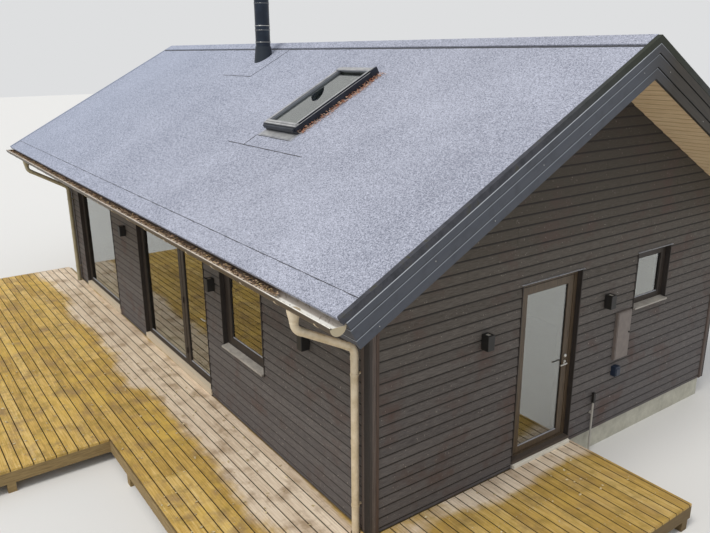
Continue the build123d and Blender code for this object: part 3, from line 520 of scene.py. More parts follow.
# Panes: sealed double units of float glass with a coating. They act as dark mirrors by day, because four
# surfaces send back far more light than one, so the index stands for a whole unit.
glass_tint = "#aab3a8"
pane_glass = start_material(
    "sealed_double_glazing", Base_Color=glass_tint, Roughness=0.0, IOR=2.8, Transmission_Weight=1.0
)
glass_nodes = pane_glass.node_tree.nodes
clear_glass = add_node(pane_glass, "BsdfTransparent", {"Color": glass_tint})
shadow_ray = (add_node(pane_glass, "LightPath"), "Is Shadow Ray")
glass_choice = add_node(
    pane_glass, "MixShader", links={0: shadow_ray, 1: glass_nodes["Principled BSDF"], 2: clear_glass}
)
pane_glass.node_tree.links.new(glass_choice.outputs[0], glass_nodes["Material Output"].inputs["Surface"])
paint(pane_glass, "window_glass", "gable_door_glass", "terrace_door_glass", "roof_window_glass")

# Seals and drip bars: a black gasket presses each unit into its sash, and along its foot a rounded bar of
# aluminium leads the water off.
gasket_rubber = start_material("black_gasket_rubber", Base_Color="#2b2926", Roughness=0.6)
gasket_width = 0.007
gasket_rise = 0.005
bar_height = 0.011


def bead_ring(name, low, high, width, rise):
    """A thin frame round a rectangle that stands in the XZ plane and faces -Y, low and high its corners."""
    ring = block(name, (low[0], low[1] - rise, low[2]), (high[0], low[1], high[2]))
    edit(ring, "FACE", lambda middle, out: abs(out.y) > 0.9)
    bpy.ops.mesh.inset(thickness=width)
    bpy.ops.mesh.delete(type="FACE")
    close()
    inner_low, inner_high = [[c + side * width * 0.6 for c in end] for side, end in ((1, low), (-1, high))]
    edit(
        ring, "EDGE",
        lambda spot, along: abs(along.y) < 0.1
        and all(inner_low[axis] < spot[axis] < inner_high[axis] for axis in (0, 2)),
    )
    bpy.ops.mesh.bridge_edge_loops()
    close()
    return ring


pane_low = 0.446
leaf_pane_low = 0.479
leaf_pane_high = 2.332
pane_high = 2.385
small_pane_low = 1.870
small_pane = 0.245
pane_plan = (
    ("house", 0, half_width, [
        (-1.027, 0.415, pane_low, pane_high), (-4.437, -2.583, pane_low, pane_high),
        (2.109, 2.904, 1.360, 2.340),
    ]),
    ("terrace_door", 0, half_width, [(0.618, 1.296, leaf_pane_low, leaf_pane_high)]),
    ("house", pi / 2, half_length, [(1.149, 1.639, small_pane_low, pane_high)]),
    ("gable_door", pi / 2, half_length, [(-0.852, -0.175, leaf_pane_low, leaf_pane_high)]),
    ("house", pi, half_width, [
        (m - small_pane, m + small_pane, small_pane_low, pane_high) for m in (-3, 0, 3)
    ]),
    ("house", -pi / 2, half_length, [
        (m - small_pane, m + small_pane, small_pane_low, pane_high) for m in (-1.5, 1.5)
    ]),
)
for number, (body, turn, distance, panes) in enumerate(pane_plan):
    glass_face = 0.077 - distance
    rings = []
    bars = []
    for left, right, low, high in panes:
        corners = ((left, glass_face, low), (right, glass_face, high))
        rings.append(bead_ring("gasket", *corners, gasket_width, gasket_rise))
        bar = block("bar", (left, glass_face - 0.009, low), (right, glass_face - 0.001, low + bar_height))
        ease(
            bar, 0.005, 2,
            lambda spot, along: abs(along.x) > 0.9 and spot.z > low + 0.010 and spot.y < glass_face - 0.008,
        )
        bars.append(bar)
    for name, parts, material in (
        ("glazing_gaskets", rings, gasket_rubber), ("glazing_drip_bars", bars, flashing_sheet)
    ):
        piece = join(f"{name}_{number}", parts)
        piece.data.transform(Matrix.Rotation(turn, 4, "Z"))
        place(piece, material, body)

# Door furniture: a bent stainless lever on a small rose, and a lock cylinder on a rose of its own above it,
# on both faces of each leaf. Brushed steel gives a soft, bright line of light along the lever.
lever_steel = start_material("brushed_stainless_steel", Base_Color="#c9c8c4", Roughness=0.28, Metallic=1.0)
lever_rise = 1.351
lock_rise = 0.085
lever_reach = 0.120
lever_out = 0.045
lever_radius = 0.009
rose_depth = 0.010
leaf_thickness = 0.054


def started(add, **settings):
    """One of Blender's own shapes to start a piece from, with its place taken up in its mesh."""
    bpy.ops.object.select_all(action="DESELECT")
    add(**settings)
    bpy.ops.object.transform_apply(location=True, rotation=True, scale=True)
    return bpy.context.object


def disc(radius, depth, spot, sides=32, axis=(0, 0, 0), **settings):
    """A short cylinder, as the start of a round piece."""
    return started(
        bpy.ops.mesh.primitive_cylinder_add, vertices=sides, radius=radius, depth=depth, location=spot,
        rotation=axis, **settings,
    )


def rod(name, stops, radius, roundness):
    """A round rod along a path, whose stops are each a place and the lean of the handles there."""
    bpy.ops.object.select_all(action="DESELECT")
    bpy.ops.curve.primitive_bezier_curve_add(location=(0, 0, 0))
    path = bpy.context.object
    spline = path.data.splines[0]
    spline.bezier_points.add(len(stops) - 2)
    for point, (spot, lean) in zip(spline.bezier_points, stops):
        point.co = spot
        point.handle_left = Vector(spot) - Vector(lean)
        point.handle_right = Vector(spot) + Vector(lean)
    path.data.bevel_depth = radius
    path.data.bevel_resolution = roundness
    path.data.use_fill_caps = True
    bpy.ops.object.convert(target="MESH")
    piece = bpy.context.object
    piece.name = name
    bpy.ops.object.transform_apply(location=True, rotation=True, scale=True)
    return piece


def sink(piece, rim, move, test):
    """Insets the faces that pass a test by a rim, and moves what is inside it."""
    edit(piece, "FACE", test)
    bpy.ops.mesh.inset(thickness=rim)
    bpy.ops.transform.translate(value=move)
    close()


def door_furniture(name, stile, face):
    """Levers and lock roses on a leaf that faces -Y. Its stile's middle is at X stile, and its outer face at
    Y face."""
    parts = []
    for side, surface in ((-1, face), (1, face + leaf_thickness)):
        for rise, radius, proud in ((lever_rise, 0.026, 0.002), (lever_rise + lock_rise, 0.024, 0.008)):
            rose = disc(radius, rose_depth, (stile, surface + side * rose_depth / 2, rise), axis=(pi / 2, 0, 0))
            sink(rose, radius * 0.45, (0, side * proud, 0), lambda middle, out: out.y * side > 0.9)
            modify(rose, "BEVEL", width=0.0015, segments=2, limit_method="ANGLE")
            parts.append(rose)
        out = surface + side * lever_out
        stops = (
            ((stile, surface, lever_rise), (0, side * 0.01, 0)),
            ((stile, out - side * 0.014, lever_rise), (0, side * 0.008, 0)),
            ((stile - 0.016, out, lever_rise), (-0.008, 0, 0)),
            ((stile - lever_reach, out, lever_rise), (-0.02, 0, 0)),
        )
        parts.append(rod("lever", stops, lever_radius, 5))
    return join(name, parts)


terrace_lever = door_furniture("terrace_door_lever", 1.341, -2.953)
place(terrace_lever, lever_steel, "terrace_door", ["terrace_door_handle"])
gable_lever = door_furniture("gable_door_lever", -0.130, -half_length + 0.062)
gable_lever.data.transform(Matrix.Rotation(pi / 2, 4, "Z"))
place(gable_lever, lever_steel, "gable_door", ["gable_door_handle"])

# Roof covering: bitumen felt with slate granules, in a long lower strip with the main sheets lapped over it.
# Black bitumen squeezes out along the laps, and collars of felt are torched on round the flue and the window.
# The granules give a blue-grey speckle that is coarser near the camera, drawn at 13 and 26 mm so it shows.
felt = start_material("slate_granule_roofing_felt", Roughness=0.92)
granules, clumps, weather = [
    add_node(
        felt, "TexNoise", {"Scale": scale, "Detail": detail, "Roughness": grit}, {"Vector": on_object(felt)}
    )
    for scale, detail, grit in ((75.0, 2.0, 0.9), (38.0, 2.0, 0.8), (0.8, 5.0, 0.6))
]
speckle = add_node(
    felt, "Mix", links={0: by_place(felt, "X", 4.0, -3.0, 1.0, 0.25), 2: (granules, "Fac"), 3: (clumps, "Fac")},
    data_type="FLOAT",
)
felt_mix = add_node(felt, "Mix", {0: 0.12}, {2: speckle, 3: (weather, "Fac")}, data_type="FLOAT")
coloured(felt, felt_mix, [(0.40, "#6a6e7c"), (0.60, "#c5c8d7")])
relief(felt, 0.5, 0.002)
overlay(felt, "#9ea8be", by_place(felt, "X", 3.0, -5.5, 0.45))
paint(felt, "felt_front", "felt_back", "ridge_cap")

# Bitumen: soft, black and a little glossy, which draws each lap as a dark line. The beads also stand in as
# painted shadow for the shade under each lap, and the widest, 26 mm, for the shade under the ridge cap.
bitumen_lap_shadow = start_material("squeezed_bitumen_and_painted_shadow", Base_Color="#3c3d42", Roughness=0.6)
roof_far = -6.672
roof_near = 5.700
felt_reach = eave_reach / cos(slope)
ridge_cover = 0.150
ridge_lap = 0.192
lap_reach = 4.020
sheet_thickness = 0.004
patch_build = 0.0015
flue_patch_left, flue_patch_right, flue_patch_foot = -1.960, -0.939, 1.078
window_patch_left, window_patch_right, window_patch_foot = 1.046, 2.926, 2.665
window_x = 1.930
window_top = 0.895
window_foot = 2.305
window_half = 0.395
front_roof = Matrix.Translation((0, 0, ridge_height)) @ Matrix.Rotation(slope, 4, "X")
back_roof = Matrix.Rotation(pi, 4, "Z") @ front_roof


def cut_out(piece, cutter):
    """Takes a cutter's shape out of a piece."""
    modify(piece, "BOOLEAN", object=cutter, operation="DIFFERENCE", solver="EXACT")
    bpy.data.objects.remove(cutter)


def felt_sheet(name, left, right, top, foot, lift=0.0, build=sheet_thickness):
    """One felt sheet in the slope's flat plan, with top and foot measured down from the ridge."""
    return block(name, (left, -foot, lift), (right, -top, lift + build))


def bitumen_bead(start, end, lift, width=0.008):
    """A wavering bead of bitumen along a lap, in the slope's flat plan."""
    length = (Vector(end) - Vector(start)).length
    bead = block("bead", (0, -width / 2, 0), (length, width / 2, 0.0035))
    edit(bead, "EDGE", lambda spot, along: abs(along.x) > 0.9)
    bpy.ops.mesh.subdivide(number_cuts=max(2, int(length / 0.12)))
    close()
    for vertex in bead.data.vertices:
        if vertex.co.y < 0:
            vertex.co.y -= 0.004 * sin(vertex.co.x * 17) * sin(vertex.co.x * 5.3) + 0.002
    direction = (Vector(end) - Vector(start)).normalized()
    turn = Matrix.Rotation(-Vector((1, 0)).angle_signed(direction), 4, "Z")
    bead.data.transform(Matrix.Translation((start[0], start[1], lift)) @ turn)
    return bead


main_sheet = felt_sheet("felt", roof_far, roof_near, ridge_cover, lap_reach)
cut_out(main_sheet, block(
    "hole", (window_x - window_half, -window_foot, -0.1), (window_x + window_half, -window_top, 0.1)
))
flue_patch = felt_sheet(
    "felt", flue_patch_left, flue_patch_right, ridge_cover, flue_patch_foot, sheet_thickness, patch_build
)
window_patch = felt_sheet(
    "felt", window_patch_left, window_patch_right, window_foot + 0.010, window_patch_foot, sheet_thickness,
    patch_build,
)
front_sheets = join("felt_sheets_front", [main_sheet, flue_patch, window_patch])
back_sheet = felt_sheet("felt_sheets_back", -roof_near, -roof_far, ridge_cover, lap_reach)
over_patch = sheet_thickness + patch_build
front_seams = join("felt_seams_front", [
    bitumen_bead((roof_far, -lap_reach), (roof_near, -lap_reach), 0),
    bitumen_bead((flue_patch_left, -flue_patch_foot), (flue_patch_right, -flue_patch_foot), sheet_thickness),
    bitumen_bead((flue_patch_right, -flue_patch_foot), (flue_patch_right, -0.180), sheet_thickness),
    bitumen_bead(
        (window_patch_left, -window_patch_foot), (window_patch_right, -window_patch_foot), sheet_thickness
    ),
    bitumen_bead((1.490, -2.660), (1.490, -2.434), over_patch),
    bitumen_bead((1.490, -2.440), (2.345, -2.440), over_patch, 0.007),
    bitumen_bead((roof_far, -ridge_lap), (roof_near, -ridge_lap), sheet_thickness, 0.026),
])
back_seams = join("felt_seams_back", [
    bitumen_bead((-roof_near, -lap_reach), (-roof_far, -lap_reach), 0),
    bitumen_bead((-roof_near, -ridge_lap), (-roof_far, -ridge_lap), sheet_thickness, 0.026),
])
for piece, material, slope_matrix in (
    (front_sheets, felt, front_roof), (back_sheet, felt, back_roof),
    (front_seams, bitumen_lap_shadow, front_roof), (back_seams, bitumen_lap_shadow, back_roof),
):
    piece.data.transform(slope_matrix)
    place(piece, material)


def mottled(name, roughness, noise, stops):
    """A surface coloured by one noise, which is given by its cycles in a metre, its detail and its grit."""
    material = start_material(name, Roughness=roughness)
    sockets = dict(zip(("Scale", "Detail", "Roughness"), noise))
    cloud = add_node(material, "TexNoise", sockets, {"Vector": on_object(material)})
    coloured(material, (cloud, "Fac"), stops)
    return material


# Verges: a kerb with felt dressed over it stands along each gable's edge and keeps the rain on the roof.
# Its felt is dark and rough, with olive moss in patches that close up towards the ridge.
moss_cap = mottled(
    "mossy_felt_capping", 0.9, (9.0, 8.0, 0.75), [(0.36, "#303238"), (0.56, "#45464d"), (0.68, "#3d3b24")]
)
relief(moss_cap, 0.4, 0.003)
overlay(moss_cap, "#2b2f20", by_place(moss_cap, "Y", 1.7, 0.3, 0.85, both_sides=True))
overlay(moss_cap, "#a4aab9", by_place(moss_cap, "X", -6.5, -6.6))
paint(moss_cap, "verge_caps")

# Bargeboards: three boards of planed spruce that step back one below the other, screwed to the rafters' ends.
# Their dark stain is painted paler and blue-grey on the front slope as painted light, the upper arrises there
# carry painted highlights, and painted shadow lines lie under the two upper boards' feet.
board_tops = (0.052, 0.138, 0.253)
board_feet = (0.133, 0.248, 0.345)
barge_stain = start_material("stained_bargeboards_painted_light_and_shadow", Roughness=0.6)
barge_out = on_axis(barge_stain, "Y", both_sides=True)
barge_up = add_node(
    barge_stain, "Math", {1: tan(slope)}, {0: barge_out, 2: on_axis(barge_stain, "Z")}, operation="MULTIPLY_ADD"
)
barge_along = add_node(
    barge_stain, "CombineXYZ", links={0: on_axis(barge_stain, "X"), 1: barge_out, 2: barge_up}
)
barge_grain = add_node(barge_stain, "Mapping", {"Scale": (60, 4, 60)}, {"Vector": barge_along})
barge_fibres = add_node(
    barge_stain, "TexNoise", {"Scale": 1.0, "Detail": 6.0, "Roughness": 0.6}, {"Vector": barge_grain}
)
coloured(barge_stain, (barge_fibres, "Fac"), [(0.3, "#1f1a14"), (0.7, "#383127")])
relief(barge_stain, 0.3, 0.0015)
# Painted light: the front slope's boards are painted paler and blue-grey, with dark weather marks over it.
lit_front_slope = by_place(barge_stain, "Y", 0.3, -0.3)
painted_light_on_front_slope = by_place(barge_stain, "Y", 0.3, -0.3, 0.6)
overlay(barge_stain, "#505765", painted_light_on_front_slope)
overlay(barge_stain, "#33363d", spots(barge_stain, 7.0, 0.50, 0.70, 5.0), painted_light_on_front_slope)
# Painted shadow lines under the feet of the two upper boards on both slopes, and painted highlights on the
# upper arrises of the front slope's boards.
shadow, shadow_width = "#191817", 0.0055
arris_highlight, arris_highlight_width = "#8e939b", 0.0045
for depth, width, colour, reached in (
    (0.133, shadow_width, shadow, ()), (0.248, shadow_width, shadow, ()),
    (0.052, 0.008, "#c3c7cd", (lit_front_slope,)),
    (0.1435, arris_highlight_width, arris_highlight, (lit_front_slope,)), (0.2585, arris_highlight_width, arris_highlight, (lit_front_slope,)),
):
    below_edge = add_node(
        barge_stain, "Math", {0: ridge_height - depth / cos(slope)}, {1: barge_up}, operation="SUBTRACT"
    )
    off_edge = add_node(barge_stain, "Math", links={0: below_edge}, operation="ABSOLUTE")
    line = add_node(barge_stain, "MapRange", {1: width + 0.001, 2: width}, {0: off_edge})
    overlay(barge_stain, colour, line, *reached)
paint(barge_stain, "fascias")
barge_end = felt_reach - 0.025
barge_thickness = 0.048
barge_step = 0.006
near_verge, far_verge = 5.748, 6.720
screw_rows = ((0.35, 0.19), (1.25, 0.30), (1.9, 0.20), (2.6, 0.30), (3.3, 0.19), (4.0, 0.30))
lengths = []
screw_heads = []
for slope_matrix, side in ((front_roof, 1), (back_roof, -1)):
    for out, verge in ((side, near_verge), (-side, far_verge)):
        for row, (top, foot) in enumerate(zip(board_tops, board_feet)):
            length = block(
                "bargeboard", (out * (verge - barge_step * row), -barge_end, -foot),
                (out * (verge - barge_thickness), 0.3, -top),
            )
            modify(length, "BEVEL", width=0.004, segments=2)
            length.data.transform(slope_matrix)
            cut_off(length, (0, 0, 0), (0, side, 0))
            lengths.append(length)
    for reach, depth in screw_rows:
        face = side * (5.7425 if depth < 0.25 else 5.7365)
        screw_head = disc(0.0045, 0.003, (face, -reach, -depth), 10, (0, pi / 2, 0))
        modify(screw_head, "BEVEL", width=0.001, segments=1, limit_method="ANGLE")
        screw_head.data.transform(slope_matrix)
        screw_heads.append(screw_head)
place(join("bargeboards_laid", lengths), barge_stain, stands_for=["bargeboards"])
place(join("bargeboard_screws", screw_heads), lever_steel)

# Soffits: clear-stained planed boards, tongued and V-jointed, nailed up under the rafters along the ridge
# on both overhangs and under the eaves. The stain leaves them honey-coloured, painted paler than the wood
# as painted light for the light thrown up under the overhangs, and each joint a brown line.
cover_width = 0.112
soffit_start = soffit_depth * tan(slope)
soffit_end = barge_end - 0.022
soffit_thickness = 0.018
# The pale tones are painted light, paler than the stained wood.
soffit_wood = timber("clear_stained_soffit_boards", "#c3a67c", "#e2caa5", (4, 50, 50), roughness=0.6)
soffit_out = on_axis(soffit_wood, "Y", both_sides=True)
run_out = add_node(
    soffit_wood, "Math", {1: cos(slope), 2: ridge_height * sin(slope) - soffit_start}, {0: soffit_out},
    operation="MULTIPLY_ADD",
)
run_down = add_node(
    soffit_wood, "Math", {1: -sin(slope)}, {0: on_axis(soffit_wood, "Z"), 2: run_out}, operation="MULTIPLY_ADD"
)
joint_count = add_node(soffit_wood, "Math", {1: cover_width}, {0: run_down}, operation="DIVIDE")
joint_place = add_node(soffit_wood, "Math", {1: 0.5, 2: -0.5}, {0: joint_count}, operation="WRAP")
joint_near = add_node(soffit_wood, "Math", links={0: joint_place}, operation="ABSOLUTE")
overlay(
    soffit_wood, "#5b4629", add_node(soffit_wood, "MapRange", {1: 0.045, 2: 0.030, 4: 0.75}, {0: joint_near})
)
soffit_slopes = []
for slope_matrix, left, right in ((front_roof, roof_far, roof_near), (back_roof, -roof_near, -roof_far)):
    board = block(
        "soffit_board", (left, -soffit_start - cover_width + 0.0005, -soffit_depth),
        (right, -soffit_start, -soffit_depth + soffit_thickness),
    )
    ease(board, 0.007, 1, lambda spot, along: abs(along.x) > 0.9 and spot.z < -soffit_depth + 0.001)
    modify(
        board, "ARRAY", count=ceil((soffit_end - soffit_start) / cover_width), use_relative_offset=False,
        use_constant_offset=True, constant_offset_displace=(0, -cover_width, 0),
    )
    cut_off(board, (0, -soffit_end, 0), (0, -1, 0))
    board.data.transform(slope_matrix)
    soffit_slopes.append(board)
soffit_boards = join("soffit_boards", soffit_slopes)
cut_out(soffit_boards, block("room", (-5.090, -2.985, 2.0), (5.090, 2.985, 5.5)))
place(soffit_boards, soffit_wood, stands_for=["soffits"])

# Rain goods: half-round gutters of coated sheet with a rolled bead, on strap brackets, and round downpipes
# with a funnel, bent elbows and sleeves. Old rain has left them dusty and streaked.
gutter_y = 3.7591
gutter_rim = 2.880
gutter_radius = 0.075
gutter_far = -6.720
gutter_near = 5.728

# Coated sheet for pipes and straps: cream, dulled by dust, and greenish at the damp far end.
gutter_sheet = metal_sheet("coated_gutter_sheet", "#dccdb2", "#c3b190", 0.45, 0.1, 7.0)
overlay(gutter_sheet, "#6f7258", by_place(gutter_sheet, "X", -3.0, -4.5, 0.6))

# The troughs: pale and scoured inside, and painted paler still there as painted light, where silt lies in brown
# layers on the far side of the near outlet, pale by the bead. Painted shade darkens the inside by the roof, the
# silt most of all, and the outside is painted dark brown as painted shade.
trough_sheet = metal_sheet("silted_gutter_trough", "#cabda6", "#a3967e", 0.45, 0.1, 7.0)
trough_out = on_axis(trough_sheet, "Y", both_sides=True)
from_axis = add_node(trough_sheet, "Math", {1: gutter_y}, {0: trough_out}, operation="SUBTRACT")
over_axis = add_node(
    trough_sheet, "Math", {1: gutter_rim}, {0: on_axis(trough_sheet, "Z")}, operation="SUBTRACT"
)
trough_arm = add_node(trough_sheet, "CombineXYZ", links={1: from_axis, 2: over_axis})
trough_radius = add_node(trough_sheet, "VectorMath", links={0: trough_arm}, operation="LENGTH")
inside, outside, roof_side_shade, by_bead = [
    add_node(trough_sheet, "MapRange", {1: start, 2: full, 4: most}, {0: source})
    for start, full, most, source in (
        (gutter_radius - 0.0008, gutter_radius - 0.0018, 1.0, (trough_radius, "Value")),
        (gutter_radius - 0.0010, gutter_radius - 0.0004, 1.0, (trough_radius, "Value")),
        (-0.048, -0.056, 0.85, from_axis),
        (0.000, 0.025, 0.60, from_axis),
    )
]
silted = by_place(trough_sheet, "X", 4.80, 4.55)
cap_start, cap_face = gutter_near - 0.0015, gutter_near - 0.0005
# In order: the pale inside (painted light), painted shade by the roof, dirt blotches, silt, flecks in the silt,
# the end cap's face, silt pale by the bead, painted shade on the silt by the roof, and painted shade outside.
for colour, *shares in (
    ("#f3f1eb", inside),
    ("#8a7f76", roof_side_shade, inside),
    ("#6f655b", spots(trough_sheet, 17.0, 0.56, 0.66, 4.0), inside),
    ("#6a5643", inside, silted),
    ("#b0937a", inside, silted, spots(trough_sheet, 70.0, 0.45, 0.62)),
    ("#b5a88c", by_place(trough_sheet, "X", cap_start, cap_face)),
    ("#c2ab96", inside, silted, by_bead),
    ("#3f342a", inside, silted, roof_side_shade),
    ("#4b4137", outside, by_place(trough_sheet, "X", cap_face, cap_start)),
):
    overlay(trough_sheet, colour, *shares)
paint(trough_sheet, "gutter_front", "gutter_back")


def tube(name, stops, radius, roundness):
    """A rod with smooth sides."""
    piece = rod(name, stops, radius, roundness)
    bpy.ops.object.shade_smooth_by_angle(angle=radians(40))
    return piece


# Beads: the sheet's rolled front edge and the thin rim of each end cap, painted nearly white as a painted
# highlight.
bead_radius = 0.0078
end_bead_radius = 0.0039
rim_reach = gutter_radius - 0.004
curve = 4 / 3 * tan(pi / 8) * rim_reach
beads = []
for side in (-1, 1):
    rim = side * gutter_y
    bead_y = side * (gutter_y + gutter_radius - 0.009)
    ends = [((end, bead_y, gutter_rim), (0.1, 0, 0)) for end in (gutter_far, gutter_near)]
    beads.append(tube("bead", ends, bead_radius, 4))
    for end in (gutter_far + 0.004, gutter_near - 0.004):
        stops = [
            ((end, rim - rim_reach, gutter_rim), (0, 0, -curve)),
            ((end, rim, gutter_rim - rim_reach), (0, curve, 0)),
            ((end, rim + rim_reach, gutter_rim), (0, 0, curve)),
        ]
        beads.append(tube("end_bead", stops, end_bead_radius, 3))
# Painted highlight: the beads are painted nearly white.
bead_highlight_sheet = metal_sheet("gutter_bead_painted_highlight", "#f0ece4", "#c9bda8", 0.3, 0.1, 12.0)
place(join("gutter_beads", beads), bead_highlight_sheet)
straps_per_gutter = 20
strap_spacing = 0.63
strap_width = 0.025
strap_thickness = 0.003
first_strap = 0.25
straps = []
for side in (-1, 1):
    for i in range(straps_per_gutter):
        spot = (gutter_far + first_strap + i * strap_spacing, side * gutter_y, gutter_rim)
        strap = disc(gutter_radius + 0.0005, strap_width, spot, axis=(0, pi / 2, 0), end_fill_type="NOTHING")
        cut_off(strap, (0, 0, gutter_rim - 0.030), (0, 0, 1), fill=False)
        modify(strap, "SOLIDIFY", thickness=strap_thickness, offset=1)
        straps.append(strap)
place(join("gutter_straps", straps), gutter_sheet)

# Downpipes: a funnel under the gutter's outlet, a swan neck of two bends in to the wall, and a straight
# pipe in sleeved lengths that two clips hold off the corner.
pipe_radius = 0.0375
pipe_y = -3.085
elbow_radius = 0.110
sleeve_radius = pipe_radius + 0.0025
sleeve_half = 0.022
clip_radius = 0.0415
clip_half = 0.0125
stem_half = 0.010
wall_skin = -2.986
funnel_depth = 0.090
funnel_foot = gutter_rim - gutter_radius - funnel_depth
shoulder = funnel_foot - 0.070
down = Vector((0, 0, -1))
pipes = []
for outlet, wall_place in ((5.070, 4.980), (-5.170, -4.980)):
    run_x = wall_place - outlet
    run_y = pipe_y + gutter_y
    landing = shoulder - (run_x**2 + run_y**2) ** 0.5 * tan(radians(28.9))
    across = Vector((run_x, run_y, landing - shoulder)).normalized()
    turn_angle = down.angle(across)
    cut_back = elbow_radius * tan(turn_angle / 2)
    pull = elbow_radius * 4 / 3 * tan(turn_angle / 4)
    top = Vector((outlet, -gutter_y, shoulder))
    low = Vector((wall_place, pipe_y, landing))
    stops = [
        (Vector((outlet, -gutter_y, funnel_foot + 0.02)), down * 0.01),
        (top - down * cut_back, down * pull),
        (top + across * cut_back, across * pull),
        (low - across * cut_back, across * pull),
        (low + down * cut_back, down * pull),
        (Vector((wall_place, pipe_y, 0.060)), down * 0.05),
    ]
    parts = [tube("pipe", stops, pipe_radius, 8)]
    for spot, lean in (
        (stops[1][0] - down * 0.012, down), (stops[2][0] + across * 0.012, across),
        (stops[3][0] - across * 0.012, across), (stops[4][0] + down * 0.03, down),
        (Vector((wall_place, pipe_y, 1.30)), down),
    ):
        ends = [(spot - lean * sleeve_half, lean * 0.01), (spot + lean * sleeve_half, lean * 0.01)]
        parts.append(tube("sleeve", ends, sleeve_radius, 8))
    funnel = started(
        bpy.ops.mesh.primitive_cone_add, vertices=40, radius1=pipe_radius + 0.002, radius2=0.060,
        depth=funnel_depth, location=(outlet, -gutter_y, funnel_foot + funnel_depth / 2),
    )
    edit(funnel, "FACE", lambda middle, out: out.z > 0.9)
    bpy.ops.mesh.extrude_region_move(TRANSFORM_OT_translate={"value": (0, 0, 0.022)})
    close()
    modify(funnel, "BEVEL", width=0.002, segments=2, limit_method="ANGLE")
    bpy.ops.object.shade_smooth_by_angle(angle=radians(40))
    parts.append(funnel)
    for height in (0.603, 2.007):
        ends = [((wall_place, pipe_y, height + end * clip_half), (0, 0, 0.01)) for end in (-1, 1)]
        clip = tube("clip", ends, clip_radius, 8)
        stem = block(
            "stem", (wall_place - stem_half, pipe_y, height - stem_half),
            (wall_place + stem_half, wall_skin, height + stem_half),
        )
        modify(stem, "BEVEL", width=0.002, segments=1)
        parts += [clip, stem]
    front_set = join("set", parts)
    pipes += [front_set, copied(front_set, Matrix.Scale(-1, 4, (0, 1, 0)))]
downpipe_set = join("round_downpipes", pipes)
edit(downpipe_set, "FACE", lambda middle, out: True)
bpy.ops.mesh.normals_make_consistent(inside=False)
close()
place(downpipe_set, gutter_sheet, stands_for=["downpipes"])

# Leaf litter: small dry leaves that lie in the gutters, against the roof window and about the deck. Each is
# a thin blade with a fold along its middle. Light has bleached those by the gutters' beads.
brown_leaves, orange_leaves, pale_leaves, golden_husks = [
    mottled(name, 0.8, (23.0, 2.0, 0.5), [(0.35, dark), (0.65, pale)])
    for name, dark, pale in (
        ("dry_brown_leaves", "#6d5641", "#c0a488"), ("dry_orange_leaves", "#b8704b", "#f6d6ba"),
        ("pale_leaf_flecks", "#b9a67c", "#dccda6"), ("golden_seed_husks", "#a08250", "#dcc49a"),
    )
]
for leaves in (brown_leaves, golden_husks):
    overlay(leaves, "#e6d6c2", by_place(leaves, "Y", gutter_y - 0.005, gutter_y + 0.025, 0.6, both_sides=True))
leaf = started(bpy.ops.mesh.primitive_grid_add, x_subdivisions=4, y_subdivisions=2, size=1)
for vertex in leaf.data.vertices:
    x, y = vertex.co.x, vertex.co.y
    vertex.co.y = y * (1.05 - (2 * x) ** 2) * 0.55
    vertex.co.z = abs(y) * 0.25 + x * x * 0.3


def scatter(name, count, spot, size, material):
    """Leaves at places that spot() draws, each turned and tilted by chance."""
    blades = []
    for _ in range(count):
        length = random.uniform(*size)
        move = (
            Matrix.Translation(spot())
            @ Matrix.Rotation(random.uniform(0, 2 * pi), 4, "Z")
            @ Matrix.Rotation(random.uniform(-0.5, 0.5), 4, "X")
            @ Matrix.Scale(length, 4)
        )
        blades.append(copied(leaf, move))
    heap = join(name, blades)
    modify(heap, "SOLIDIFY", thickness=0.0006, offset=0)
    place(heap, material)


def in_gutter(side, right):
    """A place in the bed of leaves in a gutter."""
    def spot():
        across = random.uniform(-0.045, 0.045)
        return (
            random.uniform(gutter_far + 0.05, right), side * (gutter_y + across),
            gutter_rim - 0.045 + 0.4 * abs(across) + random.uniform(0, 0.025),
        )
    return spot


def beside_window():
    """A place in the drift of leaves that lies along the roof window's near side."""
    down = random.uniform(window_top - 0.05, window_foot - 0.02)
    out = abs(random.gauss(0, 0.042 + 0.014 * sin(down * 11)))
    rise = 0.014 + max(0, 0.035 - out) * random.random()
    return front_roof @ Vector((window_x + window_half + 0.012 + out, -down, rise))


def on_deck():
    """A place on the boards of the deck."""
    while True:
        x, y = random.uniform(-6.0, 6.6), random.uniform(-6.95, 0.0)
        if (x < 1.75) * (y < -3.1) or (y > -4.5) * (y < -3.1) or (x > 5.2) * (y > -3.1):
            return x, y, 0.2935


for name, count, spot, size, material, slot in (
    ("leaves_front_gutter", 1900, in_gutter(-1, 4.75), (0.02, 0.045), brown_leaves, "gutter_metal"),
    ("husks_front_gutter", 900, in_gutter(-1, 4.75), (0.015, 0.03), golden_husks, "gutter_metal"),
    ("leaves_back_gutter", 700, in_gutter(1, 5.6), (0.02, 0.045), brown_leaves, "gutter_metal"),
    ("leaves_by_roof_window", 520, beside_window, (0.013, 0.028), orange_leaves, "roofing_felt"),
    ("leaves_on_deck", 620, on_deck, (0.018, 0.045), pale_leaves, "deck_board"),
):
    scatter(name, count, spot, size, material)
bpy.data.objects.remove(leaf)

